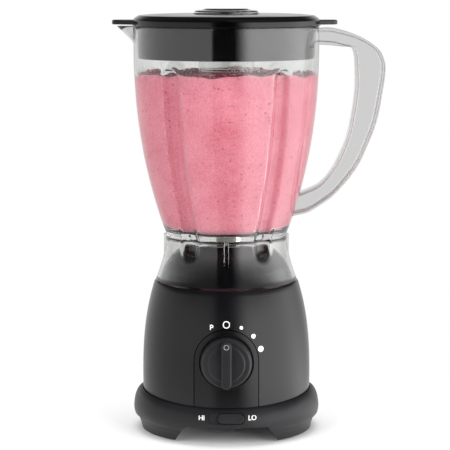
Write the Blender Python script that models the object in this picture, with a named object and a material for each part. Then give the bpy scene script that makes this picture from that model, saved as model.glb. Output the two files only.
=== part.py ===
"""Countertop blender: a clear jar with a lid and a cutter, standing on a motor base.

Run it with blender --background --python part.py, or from Blender's text editor.
Units are metres and +Z is up. The front, with the knob, faces -Y. The handle is at +X and the
pouring spout at -X. Everything hangs from one empty on the drive axis, which is moved at the end
so that the origin lies under the middle of the object's bounding box, on the worktop.
"""

import math

import bmesh
import bpy
from mathutils import Matrix, Vector

MM = 0.001

# Clearances
GAP = 0.3 * MM  # between pieces that rest on or seat in each other
RUNNING_GAP = 0.5 * MM  # round a piece that turns or slides

# Motor base: foot ring, housing and dome
FOOT_LIFT = 1.2 * MM  # the foot shells clear the worktop by this
ARCH_TOP = 16.5 * MM  # underside of the foot ring between its feet
RING_BULGE_RADIUS = 82.3 * MM
RING_BULGE_Z = 19.0 * MM
RING_WALL = 2.6 * MM
RING_FOOT_RADIUS = 75.6 * MM  # outside of a foot where it meets the worktop
RING_SIDE_Z = 36.0 * MM  # top edge of the ring at the sides
RING_FRONT_DIP = 4.0 * MM  # how much lower that edge runs at the front and back
RING_LEDGE_REACH = 4.0 * MM  # inner ledge that carries the housing
RING_LEDGE_Z = 27.7 * MM
RING_LIP = 0.9 * MM  # thickness of the ring's top edge
FRONT_ARCH_HALF = 38.0 * MM
SIDE_ARCH_HALF = 10.5 * MM
ARCH_SPLAY = 7.0 * MM  # how much wider an arch is at the worktop
ARCH_CORNER = 6.0 * MM

HOUSING_RADIUS = 74.0 * MM
HOUSING_SHOULDER_RADIUS = 63.2 * MM
HOUSING_SHOULDER_Z = 132.1 * MM
HOUSING_STRAIGHT_Z = 45.0 * MM  # the wall is upright below this
HOUSING_TAPER_POWER = 2.6
HOUSING_WALL = 2.5 * MM
DOME_HEIGHT = 33.0 * MM
DOME_TOP_RADIUS = 32.0 * MM
DOME_CLEARANCE = 0.8 * MM  # between the dome and the jar's skirt
WELL_RADIUS = 21.0 * MM
WELL_DEPTH = 16.0 * MM

# Jar
JAR_WALL = 2.5 * MM
JAR_RIM_RADIUS = 80.9 * MM
JAR_WAIST_RADIUS = 53.2 * MM
JAR_SKIRT_RADIUS = HOUSING_SHOULDER_RADIUS - 0.7 * MM  # the skirt stands on the housing's shoulder
FLOOR_OVER_DOME = 5.9 * MM  # room for the cutter's nut between the dome and the jar's floor
FLOOR_THICKNESS = 6.5 * MM
CUP_DEPTH = 177.6 * MM
FLUTE_ANGLE = 36.5  # degrees each side of straight ahead and straight back
FLUTE_HALF_WIDTH = 9.5 * MM
FLUTE_DEPTH = 6.0 * MM
FLUTE_TOP_DROP = 34.5 * MM  # below the rim
FLUTE_END_DROP = 23.5 * MM  # below the floor's upper face
KEY_WIDTH = 4.0 * MM
KEY_RADIUS = 48.0 * MM  # inner edge of the ribs that stop the jar from turning
KEY_LENGTH = 20.0 * MM
SPOUT_REACH = 14.5 * MM
SPOUT_HEIGHT = 14.1 * MM
SPOUT_HALF_ANGLE = 12.0
HUB_HOLE_RADIUS = 9.3 * MM

# Handle, as an I-beam that follows two edge curves
HANDLE_FLANGE = 2.8 * MM
HANDLE_WEB = 4.0 * MM
HANDLE_OUTER_WIDTH = 24.0 * MM
HANDLE_INNER_WIDTH = 19.0 * MM
HANDLE_STATIONS = 20

# Lid and filler cap
LID_OVERHANG = 1.1 * MM
LID_FLANGE = 6.2 * MM
LID_DOME = 4.0 * MM
LID_WALL = 2.4 * MM
LID_SKIRT_DEPTH = 28.0 * MM
LID_SKIRT_CLEARANCE = 0.7 * MM
LID_SKIRT_TAPER = 0.7 * MM
LID_TAB = 4.0 * MM
SPOUT_TAB_REACH = 19.0 * MM  # past the rim
LIFT_TAB_REACH = 16.0 * MM
CAP_RADIUS = 27.8 * MM
CAP_CUP_RADIUS = 24.6 * MM
CAP_CUP_WALL = 2.1 * MM
CAP_CUP_DEPTH = 48.0 * MM
CAP_HEIGHT = 6.5 * MM
CAP_COLLAR = 16.0 * MM  # depth of the lid's collar round the cap

# Control panel, knob and switches
PANEL_HALF_WIDTH = 28.0 * MM
PANEL_GAP = 0.45 * MM
KNOB_RADIUS = 22.0 * MM
KNOB_DISC = 7.0 * MM
KNOB_BAR_WIDTH = 10.0 * MM
KNOB_BAR_HEIGHT = 8.0 * MM
KNOB_Z = 72.0 * MM
KNOB_BOSS_RADIUS = 24.0 * MM
KNOB_BOSS_PROUD = 0.8 * MM
SPINDLE_RADIUS = 3.0 * MM
WINDOW_WIDTH = 32.0 * MM  # the range switch's window in the foot ring
WINDOW_HEIGHT = 10.0 * MM
SLIDER_TRAVEL = 8.0 * MM
WINDOW_Z = 25.0 * MM
SWITCH_FACE = -3.4 * MM  # the switch body starts this far behind the window's outer face

# Motor
SHAFT_RADIUS = 4.0 * MM
ARMATURE_RADIUS = 16.6 * MM
AIR_GAP = 0.9 * MM
STATOR_LENGTH = 62.0 * MM
STATOR_WIDTH = 58.0 * MM
COIL_INNER_RADIUS = 19.4 * MM
COIL_OUTER_RADIUS = 25.6 * MM
COIL_OVERHANG = 9.0 * MM
COIL_LEG_ANGLES = (14.0, 38.0)  # degrees from the X axis
COMMUTATOR_RADIUS = 11.0 * MM
BRACKET_RADIUS = 33.0 * MM
BRACKET_PLATE = 3.0 * MM
BEARING_RADIUS = 7.0 * MM
BEARING_HEIGHT = 8.0 * MM
FAN_RADIUS = 30.0 * MM
BOLT_X = 28.0 * MM
MOUNT_SCREW_RADIUS = 28.0 * MM  # circle of the screws that hang the motor from the housing
CABLE_RADIUS = 3.6 * MM  # hole for the mains lead

# Cutter and coupling
CUTTER_SHAFT_RADIUS = 4.0 * MM
BLADE_RADIUS = 28.0 * MM
BLADE_THICKNESS = 1.5 * MM
BLADE_WIDTH = 12.0 * MM
COUPLING_TEETH = 6
COUPLING_RADIUS = 8.0 * MM
COUPLING_ROOT = 6.0 * MM
SOCKET_RADIUS = 11.5 * MM
NUT_THICKNESS = 3.9 * MM

# Heights that follow from the sizes above
HOUSING_RIM_Z = RING_LEDGE_Z + GAP
PANEL_FOOT_Z = RING_SIDE_Z - RING_FRONT_DIP - 1.0 * MM
DOME_TOP_Z = HOUSING_SHOULDER_Z + DOME_HEIGHT
WELL_FLOOR_Z = DOME_TOP_Z - WELL_DEPTH
SKIRT_Z = HOUSING_SHOULDER_Z + GAP
FLOOR_UNDER_Z = DOME_TOP_Z + FLOOR_OVER_DOME
FLOOR_Z = FLOOR_UNDER_Z + FLOOR_THICKNESS
RIM_Z = FLOOR_Z + CUP_DEPTH
WAIST_Z = FLOOR_UNDER_Z - 3.0 * MM
CONE_START_Z = FLOOR_UNDER_Z + 3.0 * MM
FLUTE_TOP_Z = RIM_Z - FLUTE_TOP_DROP
FLUTE_END_Z = FLOOR_Z - FLUTE_END_DROP
KEY_END_Z = FLOOR_UNDER_Z - KEY_LENGTH
LID_SEAT_Z = RIM_Z + GAP
LID_TOP_Z = LID_SEAT_Z + LID_FLANGE + LID_DOME
LID_RADIUS = JAR_RIM_RADIUS + LID_OVERHANG
CAP_SEAT_Z = LID_TOP_Z - 2.4 * MM
COVER_TOP_Z = ARCH_TOP + 2.5 * MM
INLET_Z = RING_SIDE_Z - RING_FRONT_DIP + 13.0 * MM
NUT_TOP_Z = FLOOR_UNDER_Z - GAP
NUT_Z = NUT_TOP_Z - NUT_THICKNESS
HUB_FOOT_Z = NUT_Z - 0.5 * MM
SOCKET_TOP_Z = HUB_FOOT_Z - 0.6 * MM
SOCKET_CEILING_Z = SOCKET_TOP_Z - 2.6 * MM
COUPLING_TOP_Z = SOCKET_CEILING_Z - 0.8 * MM
COUPLING_Z = WELL_FLOOR_Z + 1.2 * MM
BRACKET_TOP_Z = WELL_FLOOR_Z - 28.0 * MM
STACK_TOP_Z = BRACKET_TOP_Z - BRACKET_PLATE - 5.0 * MM - COIL_OVERHANG
FAN_Z = COVER_TOP_Z + 6.6 * MM
LOWER_BRACKET_Z = FAN_Z + 16.0 * MM
COMMUTATOR_Z = LOWER_BRACKET_Z + 10.0 * MM
STACK_Z = COMMUTATOR_Z + 13.5 * MM + COIL_OVERHANG

# Directions round the drive axis, in degrees from +X
FRONT = -90.0
FLUTE_CENTRES = (FRONT - FLUTE_ANGLE, FRONT + FLUTE_ANGLE, -FRONT - FLUTE_ANGLE, -FRONT + FLUTE_ANGLE)
KEY_CENTRES = (0.0, 90.0, 180.0, -90.0)
SPOUT_CENTRE = 180.0
SCREW_POST_CENTRES = (45.0, 135.0, -45.0, -135.0)
FOOT_CENTRES = (32.0, 148.0, -32.0, -148.0)

SCREW_RADIUS = 1.9 * MM
SCREW_HEAD_RADIUS = 3.6 * MM
SCREW_HEAD_HEIGHT = 2.2 * MM
SCREW_LENGTH = 12.0 * MM
SCREW_POST_RADIUS = 4.5 * MM
SCREW_CIRCLE = min(
    HOUSING_SHOULDER_RADIUS - SCREW_POST_RADIUS - 1.2 * MM,
    HOUSING_RADIUS - RING_LEDGE_REACH - SCREW_POST_RADIUS - 1.5 * MM,
)
RUBBER_FOOT_RADIUS = 7.5 * MM
RUBBER_FOOT_HEIGHT = 4.0 * MM
FOOT_CIRCLE = RING_FOOT_RADIUS - 13.0 * MM

COLOURS = {
    # name: (red, green, blue, alpha, roughness, metallic)
    "clear_plastic": (0.86, 0.88, 0.87, 0.35, 0.06, 0.0),
    "black_housing": (0.030, 0.029, 0.030, 1.0, 0.36, 0.0),
    "black_lid": (0.022, 0.021, 0.022, 1.0, 0.30, 0.0),
    "black_control": (0.018, 0.018, 0.020, 1.0, 0.34, 0.0),
    "grey_plastic": (0.20, 0.20, 0.21, 1.0, 0.50, 0.0),
    "rubber": (0.030, 0.030, 0.030, 1.0, 0.80, 0.0),
    "stainless_steel": (0.62, 0.62, 0.62, 1.0, 0.25, 1.0),
    "bearing_bronze": (0.55, 0.38, 0.16, 1.0, 0.35, 1.0),
    "lamination_steel": (0.28, 0.28, 0.30, 1.0, 0.45, 1.0),
    "copper_winding": (0.55, 0.20, 0.08, 1.0, 0.35, 1.0),
    "carbon": (0.05, 0.05, 0.055, 1.0, 0.60, 0.0),
    "nylon": (0.75, 0.74, 0.70, 1.0, 0.45, 0.0),
}


# ---------------------------------------------------------------- modelling helpers


def clear_scene():
    """Removes every object, so that the script starts from nothing."""
    for obj in list(bpy.data.objects):
        bpy.data.objects.remove(obj)


def make_materials():
    """One Principled material for each entry of COLOURS."""
    made = {}
    for name, (red, green, blue, alpha, roughness, metallic) in COLOURS.items():
        material = bpy.data.materials.new(name)
        material.use_nodes = True
        shader = material.node_tree.nodes["Principled BSDF"]
        shader.inputs["Base Color"].default_value = (red, green, blue, 1.0)
        shader.inputs["Alpha"].default_value = alpha
        shader.inputs["Roughness"].default_value = roughness
        shader.inputs["Metallic"].default_value = metallic
        material.diffuse_color = (red, green, blue, alpha)
        made[name] = material
    return made


def add_empty(name, location, parent=None):
    """An empty that carries the pieces of one moving group."""
    empty = bpy.data.objects.new(name, None)
    empty.location = location
    empty.parent = parent
    bpy.context.scene.collection.objects.link(empty)
    return empty


def add_mesh(name, bm, material, parent, location=(0, 0, 0), rotation=(0, 0, 0)):
    """Turns a bmesh into an object with its faces pointing out, shaded smooth but for sharp edges."""
    bmesh.ops.recalc_face_normals(bm, faces=bm.faces)
    mesh = bpy.data.meshes.new(name)
    bm.to_mesh(mesh)
    bm.free()
    mesh.materials.append(material)
    mesh.shade_smooth()
    mesh.set_sharp_from_angle(angle=math.radians(35))
    obj = bpy.data.objects.new(name, mesh)
    obj.location = location
    obj.rotation_euler = rotation
    obj.parent = parent
    bpy.context.scene.collection.objects.link(obj)
    return obj


def turned(profile, segments=24):
    """A bmesh turned round Z from (radius, height) points. A profile whose two ends lie on the axis
    is left open there, and any other is closed into a loop. The seam is set off the X axis, so that
    holes centred on that axis don't have corners on a seam."""
    bm = bmesh.new()
    first = math.tau / segments * 0.37
    verts = [bm.verts.new((r * math.cos(first), r * math.sin(first), z)) for r, z in profile]
    edges = [bm.edges.new(pair) for pair in zip(verts, verts[1:])]
    if profile[0][0] > 0 or profile[-1][0] > 0:
        edges.append(bm.edges.new((verts[-1], verts[0])))
    bmesh.ops.spin(
        bm, geom=verts + edges, cent=(0, 0, 0), axis=(0, 0, 1), angle=math.tau, steps=segments, use_merge=True
    )
    bmesh.ops.remove_doubles(bm, verts=bm.verts, dist=0.001 * MM)
    return bm


def tube(inner, outer, low, high, segments=24):
    """A plain ring, or a solid cylinder where inner is 0."""
    if inner > 0:
        return turned([(outer, low), (outer, high), (inner, high), (inner, low)], segments)
    return turned([(0, low), (outer, low), (outer, high), (0, high)], segments)


def swept(angles, section):
    """A bmesh ring: section(angle) gives the same number of (radius, height) points at every angle."""
    bm = bmesh.new()
    rings = []
    for angle in angles:
        turn = math.radians(angle)
        rings.append(
            [bm.verts.new((r * math.cos(turn), r * math.sin(turn), z)) for r, z in section(angle)]
        )
    count = len(rings[0])
    for ring, following in zip(rings, rings[1:] + rings[:1]):
        for i in range(count):
            j = (i + 1) % count
            bm.faces.new((ring[i], following[i], following[j], ring[j]))
    return bm


def prism(outline, low, high):
    """A bmesh of an (x, y) outline extruded from low to high along Z."""
    bm = bmesh.new()
    base = bm.faces.new([bm.verts.new((x, y, low)) for x, y in outline])
    made = bmesh.ops.extrude_face_region(bm, geom=[base])
    top = [item for item in made["geom"] if isinstance(item, bmesh.types.BMVert)]
    bmesh.ops.translate(bm, verts=top, vec=(0, 0, high - low))
    return bm


def block(low, high):
    """A bmesh box between two corners."""
    bm = bmesh.new()
    middle = (Vector(low) + Vector(high)) / 2
    size = Vector(high) - Vector(low)
    bmesh.ops.create_cube(bm, size=1.0, matrix=Matrix.Translation(middle) @ Matrix.Diagonal((*size, 1.0)))
    return bm


def merged(parts):
    """One bmesh from (bmesh, location) pairs that don't touch each other."""
    whole = bmesh.new()
    for part, location in parts:
        bmesh.ops.recalc_face_normals(part, faces=part.faces)
        copies = {v: whole.verts.new(v.co + Vector(location)) for v in part.verts}
        for face in part.faces:
            whole.faces.new([copies[v] for v in face.verts])
        part.free()
    return whole


def boolean(target, tool, operation="DIFFERENCE"):
    """Cuts tool from target, joins it, or keeps what they share. The tool stays as a hidden helper."""
    modifier = target.modifiers.new(tool.name, "BOOLEAN")
    modifier.operation = operation
    modifier.solver = "EXACT"
    modifier.object = tool
    tool.hide_render = True
    tool.display_type = "WIRE"
    weld = target.modifiers.new(tool.name + "_weld", "WELD")
    weld.merge_threshold = 0.001 * MM
    return target


def arc(centre, radius, start, end, steps):
    """Points on a circle, from start to end in degrees."""
    return [
        (
            centre[0] + radius * math.cos(math.radians(start + (end - start) * i / steps)),
            centre[1] + radius * math.sin(math.radians(start + (end - start) * i / steps)),
        )
        for i in range(steps + 1)
    ]


def stadium(length, width, steps=6):
    """A slot outline with round ends, along X."""
    reach = (length - width) / 2
    return arc((reach, 0), width / 2, -90, 90, steps) + arc((-reach, 0), width / 2, 90, 270, steps)


def sector(inner, outer, start, end, steps):
    """An annular sector outline, in degrees."""
    return arc((0, 0), outer, start, end, steps) + arc((0, 0), inner, end, start, steps)


def toothed(root, tip, teeth, fill=0.5):
    """A gear-like outline with square teeth that take up this share of the pitch."""
    points = []
    pitch = 360.0 / teeth
    for i in range(teeth):
        middle = i * pitch
        for radius, angle in (
            (root, middle - pitch / 2),
            (root, middle - pitch * fill / 2),
            (tip, middle - pitch * fill / 2 * 0.8),
            (tip, middle + pitch * fill / 2 * 0.8),
            (root, middle + pitch * fill / 2),
        ):
            turn = math.radians(angle)
            points.append((radius * math.cos(turn), radius * math.sin(turn)))
    return points


def curve_through(points, count):
    """count points along a smooth curve through the given ones, ends included."""
    ends = [2 * Vector(points[0]) - Vector(points[1]), 2 * Vector(points[-1]) - Vector(points[-2])]
    knots = [ends[0]] + [Vector(p) for p in points] + [ends[1]]
    found = []
    for step in range(count):
        place = step * (len(points) - 1) / (count - 1)
        i = min(int(place), len(points) - 2)
        t = place - i
        a, b, c, d = knots[i : i + 4]
        found.append(
            0.5 * (2 * b + (c - a) * t + (2 * a - 5 * b + 4 * c - d) * t**2 + (3 * b - a - 3 * c + d) * t**3)
        )
    return found


def around(radius, angle):
    """The (x, y) at this radius and angle in degrees."""
    return radius * math.cos(math.radians(angle)), radius * math.sin(math.radians(angle))


def degrees_apart(a, b):
    """The angle between two directions, 0 to 180."""
    return abs((a - b + 180.0) % 360.0 - 180.0)


def swell(share):
    """1 at the middle, falling smoothly to 0 at a share of 1 and beyond."""
    return 0.5 + 0.5 * math.cos(math.pi * min(1.0, share))


# ---------------------------------------------------------------- shapes that pieces share


def housing_radius(z):
    """Outside of the housing at this height."""
    rise = max(0.0, (z - HOUSING_STRAIGHT_Z) / (HOUSING_SHOULDER_Z - HOUSING_STRAIGHT_Z))
    return HOUSING_RADIUS - (HOUSING_RADIUS - HOUSING_SHOULDER_RADIUS) * rise**HOUSING_TAPER_POWER


def jar_profile(z):
    """Outside radius of the jar, without flutes or spout."""
    if z >= CONE_START_Z:
        fall = 1.0 - min(1.0, (z - CONE_START_Z) / (RIM_Z - 15.0 * MM - CONE_START_Z))
        start = JAR_WAIST_RADIUS + 0.8 * MM
        return JAR_RIM_RADIUS - (JAR_RIM_RADIUS - start) * fall**2.2
    flare = max(0.0, (WAIST_Z - z) / (WAIST_Z - SKIRT_Z))
    return JAR_WAIST_RADIUS + (JAR_SKIRT_RADIUS - JAR_WAIST_RADIUS) * flare**1.5


def flute(angle, z):
    """How far the nearest flute presses the wall in. A flute is a long groove with round ends."""
    end_centre = min(max(z, FLUTE_END_Z + FLUTE_HALF_WIDTH), FLUTE_TOP_Z - FLUTE_HALF_WIDTH)
    apart = min(degrees_apart(angle, centre) for centre in FLUTE_CENTRES)
    across = math.radians(apart) * jar_profile(z)
    return FLUTE_DEPTH * swell(math.hypot(across, z - end_centre) / FLUTE_HALF_WIDTH)


def spout(angle, z):
    """How far the pouring lip stands out of the wall."""
    rise = max(0.0, (z - (RIM_Z - SPOUT_HEIGHT)) / SPOUT_HEIGHT)
    side = max(0.0, 1.0 - degrees_apart(angle, SPOUT_CENTRE) / SPOUT_HALF_ANGLE)
    return SPOUT_REACH * rise * side


def jar_outside(angle, z):
    return jar_profile(z) + spout(angle, z) - flute(angle, z)


def dome_radius(z):
    """Outside of the dome under the jar, clear of the skirt that covers it."""
    rise = min(1.0, max(0.0, (z - HOUSING_SHOULDER_Z) / DOME_HEIGHT))
    base = JAR_SKIRT_RADIUS - JAR_WALL - DOME_CLEARANCE
    free = DOME_TOP_RADIUS + (base - DOME_TOP_RADIUS) * (1.0 - rise**1.5) ** 0.65
    return min(free, jar_outside(FLUTE_CENTRES[0], z) - JAR_WALL - DOME_CLEARANCE)


def screw_post_top(circle):
    """Height at which a screw post on this circle ends, inside the shell above it."""
    reach = circle + SCREW_POST_RADIUS + 0.5 * HOUSING_WALL
    top = HOUSING_SHOULDER_Z - 0.5 * HOUSING_WALL
    while dome_radius(top + 0.5 * MM) > reach:
        top += 0.5 * MM
    return top


def ring_lip_z(angle):
    """Height of the foot ring's top edge, which dips at the front and back."""
    return RING_SIDE_Z - RING_FRONT_DIP * math.sin(math.radians(angle)) ** 2


def ring_point(share, lip_z):
    """A point on the foot ring's flared face, from its lip at 0 to its widest line at 1."""
    turn = share * math.pi / 2
    lip_radius = HOUSING_RADIUS + GAP + RING_LIP
    radius = lip_radius + (RING_BULGE_RADIUS - lip_radius) * math.sin(turn)
    return radius, RING_BULGE_Z + (lip_z - RING_BULGE_Z) * math.cos(turn)


def star(grow=0.0):
    """Outline of the coupling's teeth, or of the socket round them."""
    return toothed(COUPLING_ROOT + grow, COUPLING_RADIUS + grow, COUPLING_TEETH, 0.5 + grow / COUPLING_RADIUS)


def turned_about_z(bm, angle):
    """The same bmesh, turned round Z by this many degrees."""
    matrix = Matrix.Rotation(math.radians(angle), 3, "Z")
    bmesh.ops.rotate(bm, verts=bm.verts, cent=(0, 0, 0), matrix=matrix)
    return bm


def four_keys(inner, outer, half_width, low, high):
    """Four upright blocks round the drive axis, for the jar's key ribs and the slots they drop into."""
    keys = []
    for centre in KEY_CENTRES:
        key = block((inner, -half_width, low), (outer, half_width, high))
        keys.append((turned_about_z(key, centre), (0, 0, 0)))
    return merged(keys)


def columns(wanted, widest):
    """Sorted angles round the axis: the wanted ones, and more between them so that no step is wider."""
    angles = sorted({round(angle % 360.0, 3) for angle in wanted})
    filled = []
    for angle, following in zip(angles, angles[1:] + [angles[0] + 360.0]):
        steps = max(1, math.ceil((following - angle) / widest))
        filled += [angle + (following - angle) * i / steps for i in range(steps)]
    return filled


# ---------------------------------------------------------------- motor base


def make_foot_ring(materials, root):
    """Flared skirt of the base: four feet, an arch between each pair, and the range switch's window."""
    inner_foot = RING_FOOT_RADIUS - RING_WALL
    inner_bulge = RING_BULGE_RADIUS - RING_WALL
    seat_radius = HOUSING_RADIUS + GAP
    ledge_radius = HOUSING_RADIUS - RING_LEDGE_REACH
    ledge_under = COVER_TOP_Z + GAP

    def section(angle):
        lip_z = ring_lip_z(angle)
        flare = [ring_point(i / 4, lip_z) for i in range(5)]
        tuck = [
            (RING_BULGE_RADIUS - 0.9 * MM, RING_BULGE_Z - 4.8 * MM),
            (RING_FOOT_RADIUS + 2.6 * MM, RING_BULGE_Z - 8.0 * MM),
            (RING_FOOT_RADIUS + 1.0 * MM, RING_BULGE_Z - 12.0 * MM),
            (RING_FOOT_RADIUS, FOOT_LIFT),
        ]
        inside = [
            (inner_foot, FOOT_LIFT),
            (inner_foot + 1.6 * MM, RING_BULGE_Z - 10.0 * MM),
            (inner_bulge - 1.3 * MM, RING_BULGE_Z - 4.5 * MM),
            (inner_bulge - 0.4 * MM, ledge_under),
            (ledge_radius, ledge_under),
            (ledge_radius, RING_LEDGE_Z),
            (seat_radius, RING_LEDGE_Z),
            (seat_radius, lip_z),
        ]
        return flare + tuck + inside

    ring = add_mesh("foot_ring", swept(columns([3.33], 9.0), section), materials["black_housing"], root)
    arches = (("front_arch", FRONT_ARCH_HALF, 0.0), ("side_arch", SIDE_ARCH_HALF, 90.0))
    for name, half_width, turn in arches:
        cutter = prism(arch_outline(half_width), -2 * RING_BULGE_RADIUS, 2 * RING_BULGE_RADIUS)
        tool = add_mesh(name + "_cutter", cutter, materials["rubber"], root)
        tool.rotation_euler = (math.radians(90), 0, math.radians(turn))
        boolean(ring, tool)
    window = prism(stadium(WINDOW_WIDTH, WINDOW_HEIGHT), SWITCH_FACE - 2 * MM, 6.0 * MM)
    boolean(ring, place_on_switch(add_mesh("window_cutter", window, materials["rubber"], root)))
    room = switch_body_size() / 2 + Vector((RUNNING_GAP, RUNNING_GAP, 0))
    bay = block((-room.x, -room.y, -20.0 * MM), (room.x, room.y, SWITCH_FACE + GAP))
    boolean(ring, place_on_switch(add_mesh("switch_bay_cutter", bay, materials["rubber"], root)))
    return ring


def arch_outline(half_width):
    """Cross-section of the gap between two feet, with rounded upper corners, open at the worktop."""
    foot_half = half_width + ARCH_SPLAY
    corner = (half_width - ARCH_CORNER, ARCH_TOP - ARCH_CORNER)
    right = [(foot_half, -5 * MM), (foot_half, 0.0)] + arc(corner, ARCH_CORNER, 20, 90, 4)
    return right + [(-x, y) for x, y in reversed(right)]


def make_housing(materials, root):
    """Tapered shell: the shoulder the jar rests on, the dome inside its skirt and the coupling's well."""
    wall = HOUSING_WALL
    span = HOUSING_SHOULDER_Z - HOUSING_STRAIGHT_Z
    heights = [HOUSING_RIM_Z, HOUSING_STRAIGHT_Z]
    heights += [HOUSING_STRAIGHT_Z + span * share for share in (0.3, 0.52, 0.7, 0.86, 1.0)]
    outside = [(housing_radius(z), z) for z in heights]
    rises = [DOME_HEIGHT * share for share in (0.0, 0.2, 0.4, 0.58, 0.75, 0.9, 1.0)]
    dome = [(dome_radius(HOUSING_SHOULDER_Z + rise), HOUSING_SHOULDER_Z + rise) for rise in rises]
    ceiling = DOME_TOP_Z - wall - 0.5 * MM
    well = [
        (WELL_RADIUS + 1.0 * MM, DOME_TOP_Z),
        (WELL_RADIUS, DOME_TOP_Z - 1.0 * MM),
        (WELL_RADIUS, WELL_FLOOR_Z),
        (SHAFT_RADIUS + 1.2 * MM, WELL_FLOOR_Z),
        (SHAFT_RADIUS + 1.2 * MM, WELL_FLOOR_Z - wall),
        (WELL_RADIUS + wall, WELL_FLOOR_Z - wall),
        (WELL_RADIUS + wall, ceiling),
    ]
    under = [
        (DOME_TOP_RADIUS - 1.0 * MM, ceiling),
        (dome[4][0] - 1.2 * wall, dome[4][1] - 0.6 * wall),
        (dome[0][0] - 1.4 * wall, HOUSING_SHOULDER_Z - wall),
    ]
    inside = [(housing_radius(z) - wall, min(z, HOUSING_SHOULDER_Z - wall)) for z in reversed(heights)]
    profile = outside + dome + well + under + inside
    housing = add_mesh("upper_housing", turned(profile, 40), materials["black_housing"], root)

    slot_inner, slot_foot = KEY_RADIUS - RUNNING_GAP, KEY_END_Z - 1.5 * MM
    half = KEY_WIDTH / 2 + RUNNING_GAP
    outer = dome_radius(slot_foot) - 0.5 * wall
    boxes = four_keys(slot_inner - wall, outer, half + wall, slot_foot - wall, slot_foot + 4.0 * MM)
    boolean(housing, add_mesh("key_slot_walls", boxes, materials["rubber"], root), "UNION")
    slots = four_keys(slot_inner, JAR_SKIRT_RADIUS + 5 * MM, half, slot_foot, DOME_TOP_Z + 5 * MM)
    boolean(housing, add_mesh("key_slots", slots, materials["rubber"], root))

    posts, holes = [], []
    for centre in SCREW_POST_CENTRES:
        for circle, low, high, hole_end in (
            (SCREW_CIRCLE, COVER_TOP_Z, screw_post_top(SCREW_CIRCLE), COVER_TOP_Z + SCREW_LENGTH + 2 * MM),
            (MOUNT_SCREW_RADIUS, BRACKET_TOP_Z, DOME_TOP_Z - 0.4 * wall, BRACKET_TOP_Z + SCREW_LENGTH),
        ):
            place = (*around(circle, centre), 0)
            posts.append((tube(0, SCREW_POST_RADIUS, low + GAP, high, 10), place))
            holes.append((tube(0, SCREW_RADIUS + GAP, 0, hole_end, 10), place))
    boolean(housing, add_mesh("screw_posts", merged(posts), materials["rubber"], root), "UNION")
    boolean(housing, add_mesh("screw_holes", merged(holes), materials["rubber"], root))
    opening = prism(panel_outline(0.0), 0, 2 * HOUSING_RADIUS)
    tool = add_mesh("panel_opening_cutter", opening, materials["rubber"], root)
    tool.rotation_euler = (math.radians(90), 0, 0)
    boolean(housing, tool)
    inlet = tube(0, grommet_neck_radius() + GAP, 0, 2 * HOUSING_RADIUS, 16)
    tool = add_mesh("inlet_cutter", inlet, materials["rubber"], root, (0, 0, INLET_Z))
    tool.rotation_euler = (math.radians(-90), 0, 0)
    boolean(housing, tool)
    return housing


def grommet_neck_radius():
    return CABLE_RADIUS + 2.2 * MM


def make_inlet_grommet(materials, root):
    """Bush in the back of the housing, through which a mains lead would leave."""
    inside = HOUSING_RADIUS - HOUSING_WALL
    neck = grommet_neck_radius()
    flange = neck + 2.6 * MM
    profile = [
        (CABLE_RADIUS, inside - 3.0 * MM),
        (flange - 0.6 * MM, inside - 3.0 * MM),
        (flange - 0.6 * MM, inside - 1.2 * MM),
        (neck, inside - 1.2 * MM),
        (neck, HOUSING_RADIUS + GAP),
        (flange, HOUSING_RADIUS + GAP),
        (flange - 0.8 * MM, HOUSING_RADIUS + 2.4 * MM),
        (CABLE_RADIUS + 0.8 * MM, HOUSING_RADIUS + 3.4 * MM),
        (CABLE_RADIUS, HOUSING_RADIUS + 2.6 * MM),
    ]
    grommet = add_mesh("cord_inlet_grommet", turned(profile, 20), materials["rubber"], root)
    grommet.location.z = INLET_Z
    grommet.rotation_euler = (math.radians(-90), 0, 0)
    return grommet


def make_bottom_cover(materials, root):
    """Disc that closes the base from below, with cooling slots, posts for the rubber feet and a notch
    that clears the range switch."""
    disc = prism(arc((0, 0), HOUSING_RADIUS - 1.0 * MM, 3.3, 353.3, 35), ARCH_TOP, COVER_TOP_Z)
    cover = add_mesh("bottom_cover", disc, materials["black_housing"], root)
    posts, holes = [], []
    for centre in FOOT_CENTRES:
        place = (*around(FOOT_CIRCLE, centre), 0)
        posts.append((tube(0, RUBBER_FOOT_RADIUS + 1.8 * MM, FOOT_LIFT, ARCH_TOP + 1.0 * MM, 12), place))
        holes.append((tube(0, RUBBER_FOOT_RADIUS + GAP, -1.0 * MM, RUBBER_FOOT_HEIGHT + GAP, 12), place))
    for centre in SCREW_POST_CENTRES:
        hole = tube(0, SCREW_RADIUS + GAP, ARCH_TOP - 5 * MM, COVER_TOP_Z + 5 * MM, 10)
        holes.append((hole, (*around(SCREW_CIRCLE, centre), 0)))
    slot_count = 5
    for i in range(slot_count):
        slot = prism(stadium(36.0 * MM, 3.2 * MM, 2), ARCH_TOP - 5 * MM, COVER_TOP_Z + 5 * MM)
        holes.append((slot, (0, (i - (slot_count - 1) / 2) * 8.0 * MM, 0)))
    half = switch_body_size().x / 2 + 1.5 * MM
    notch_low = (-half, -HOUSING_RADIUS - 5 * MM, ARCH_TOP - 5 * MM)
    holes.append((block(notch_low, (half, -66.0 * MM, COVER_TOP_Z + 5 * MM)), (0, 0, 0)))
    boolean(cover, add_mesh("foot_posts", merged(posts), materials["rubber"], root), "UNION")
    boolean(cover, add_mesh("cover_holes", merged(holes), materials["rubber"], root))
    return cover


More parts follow.
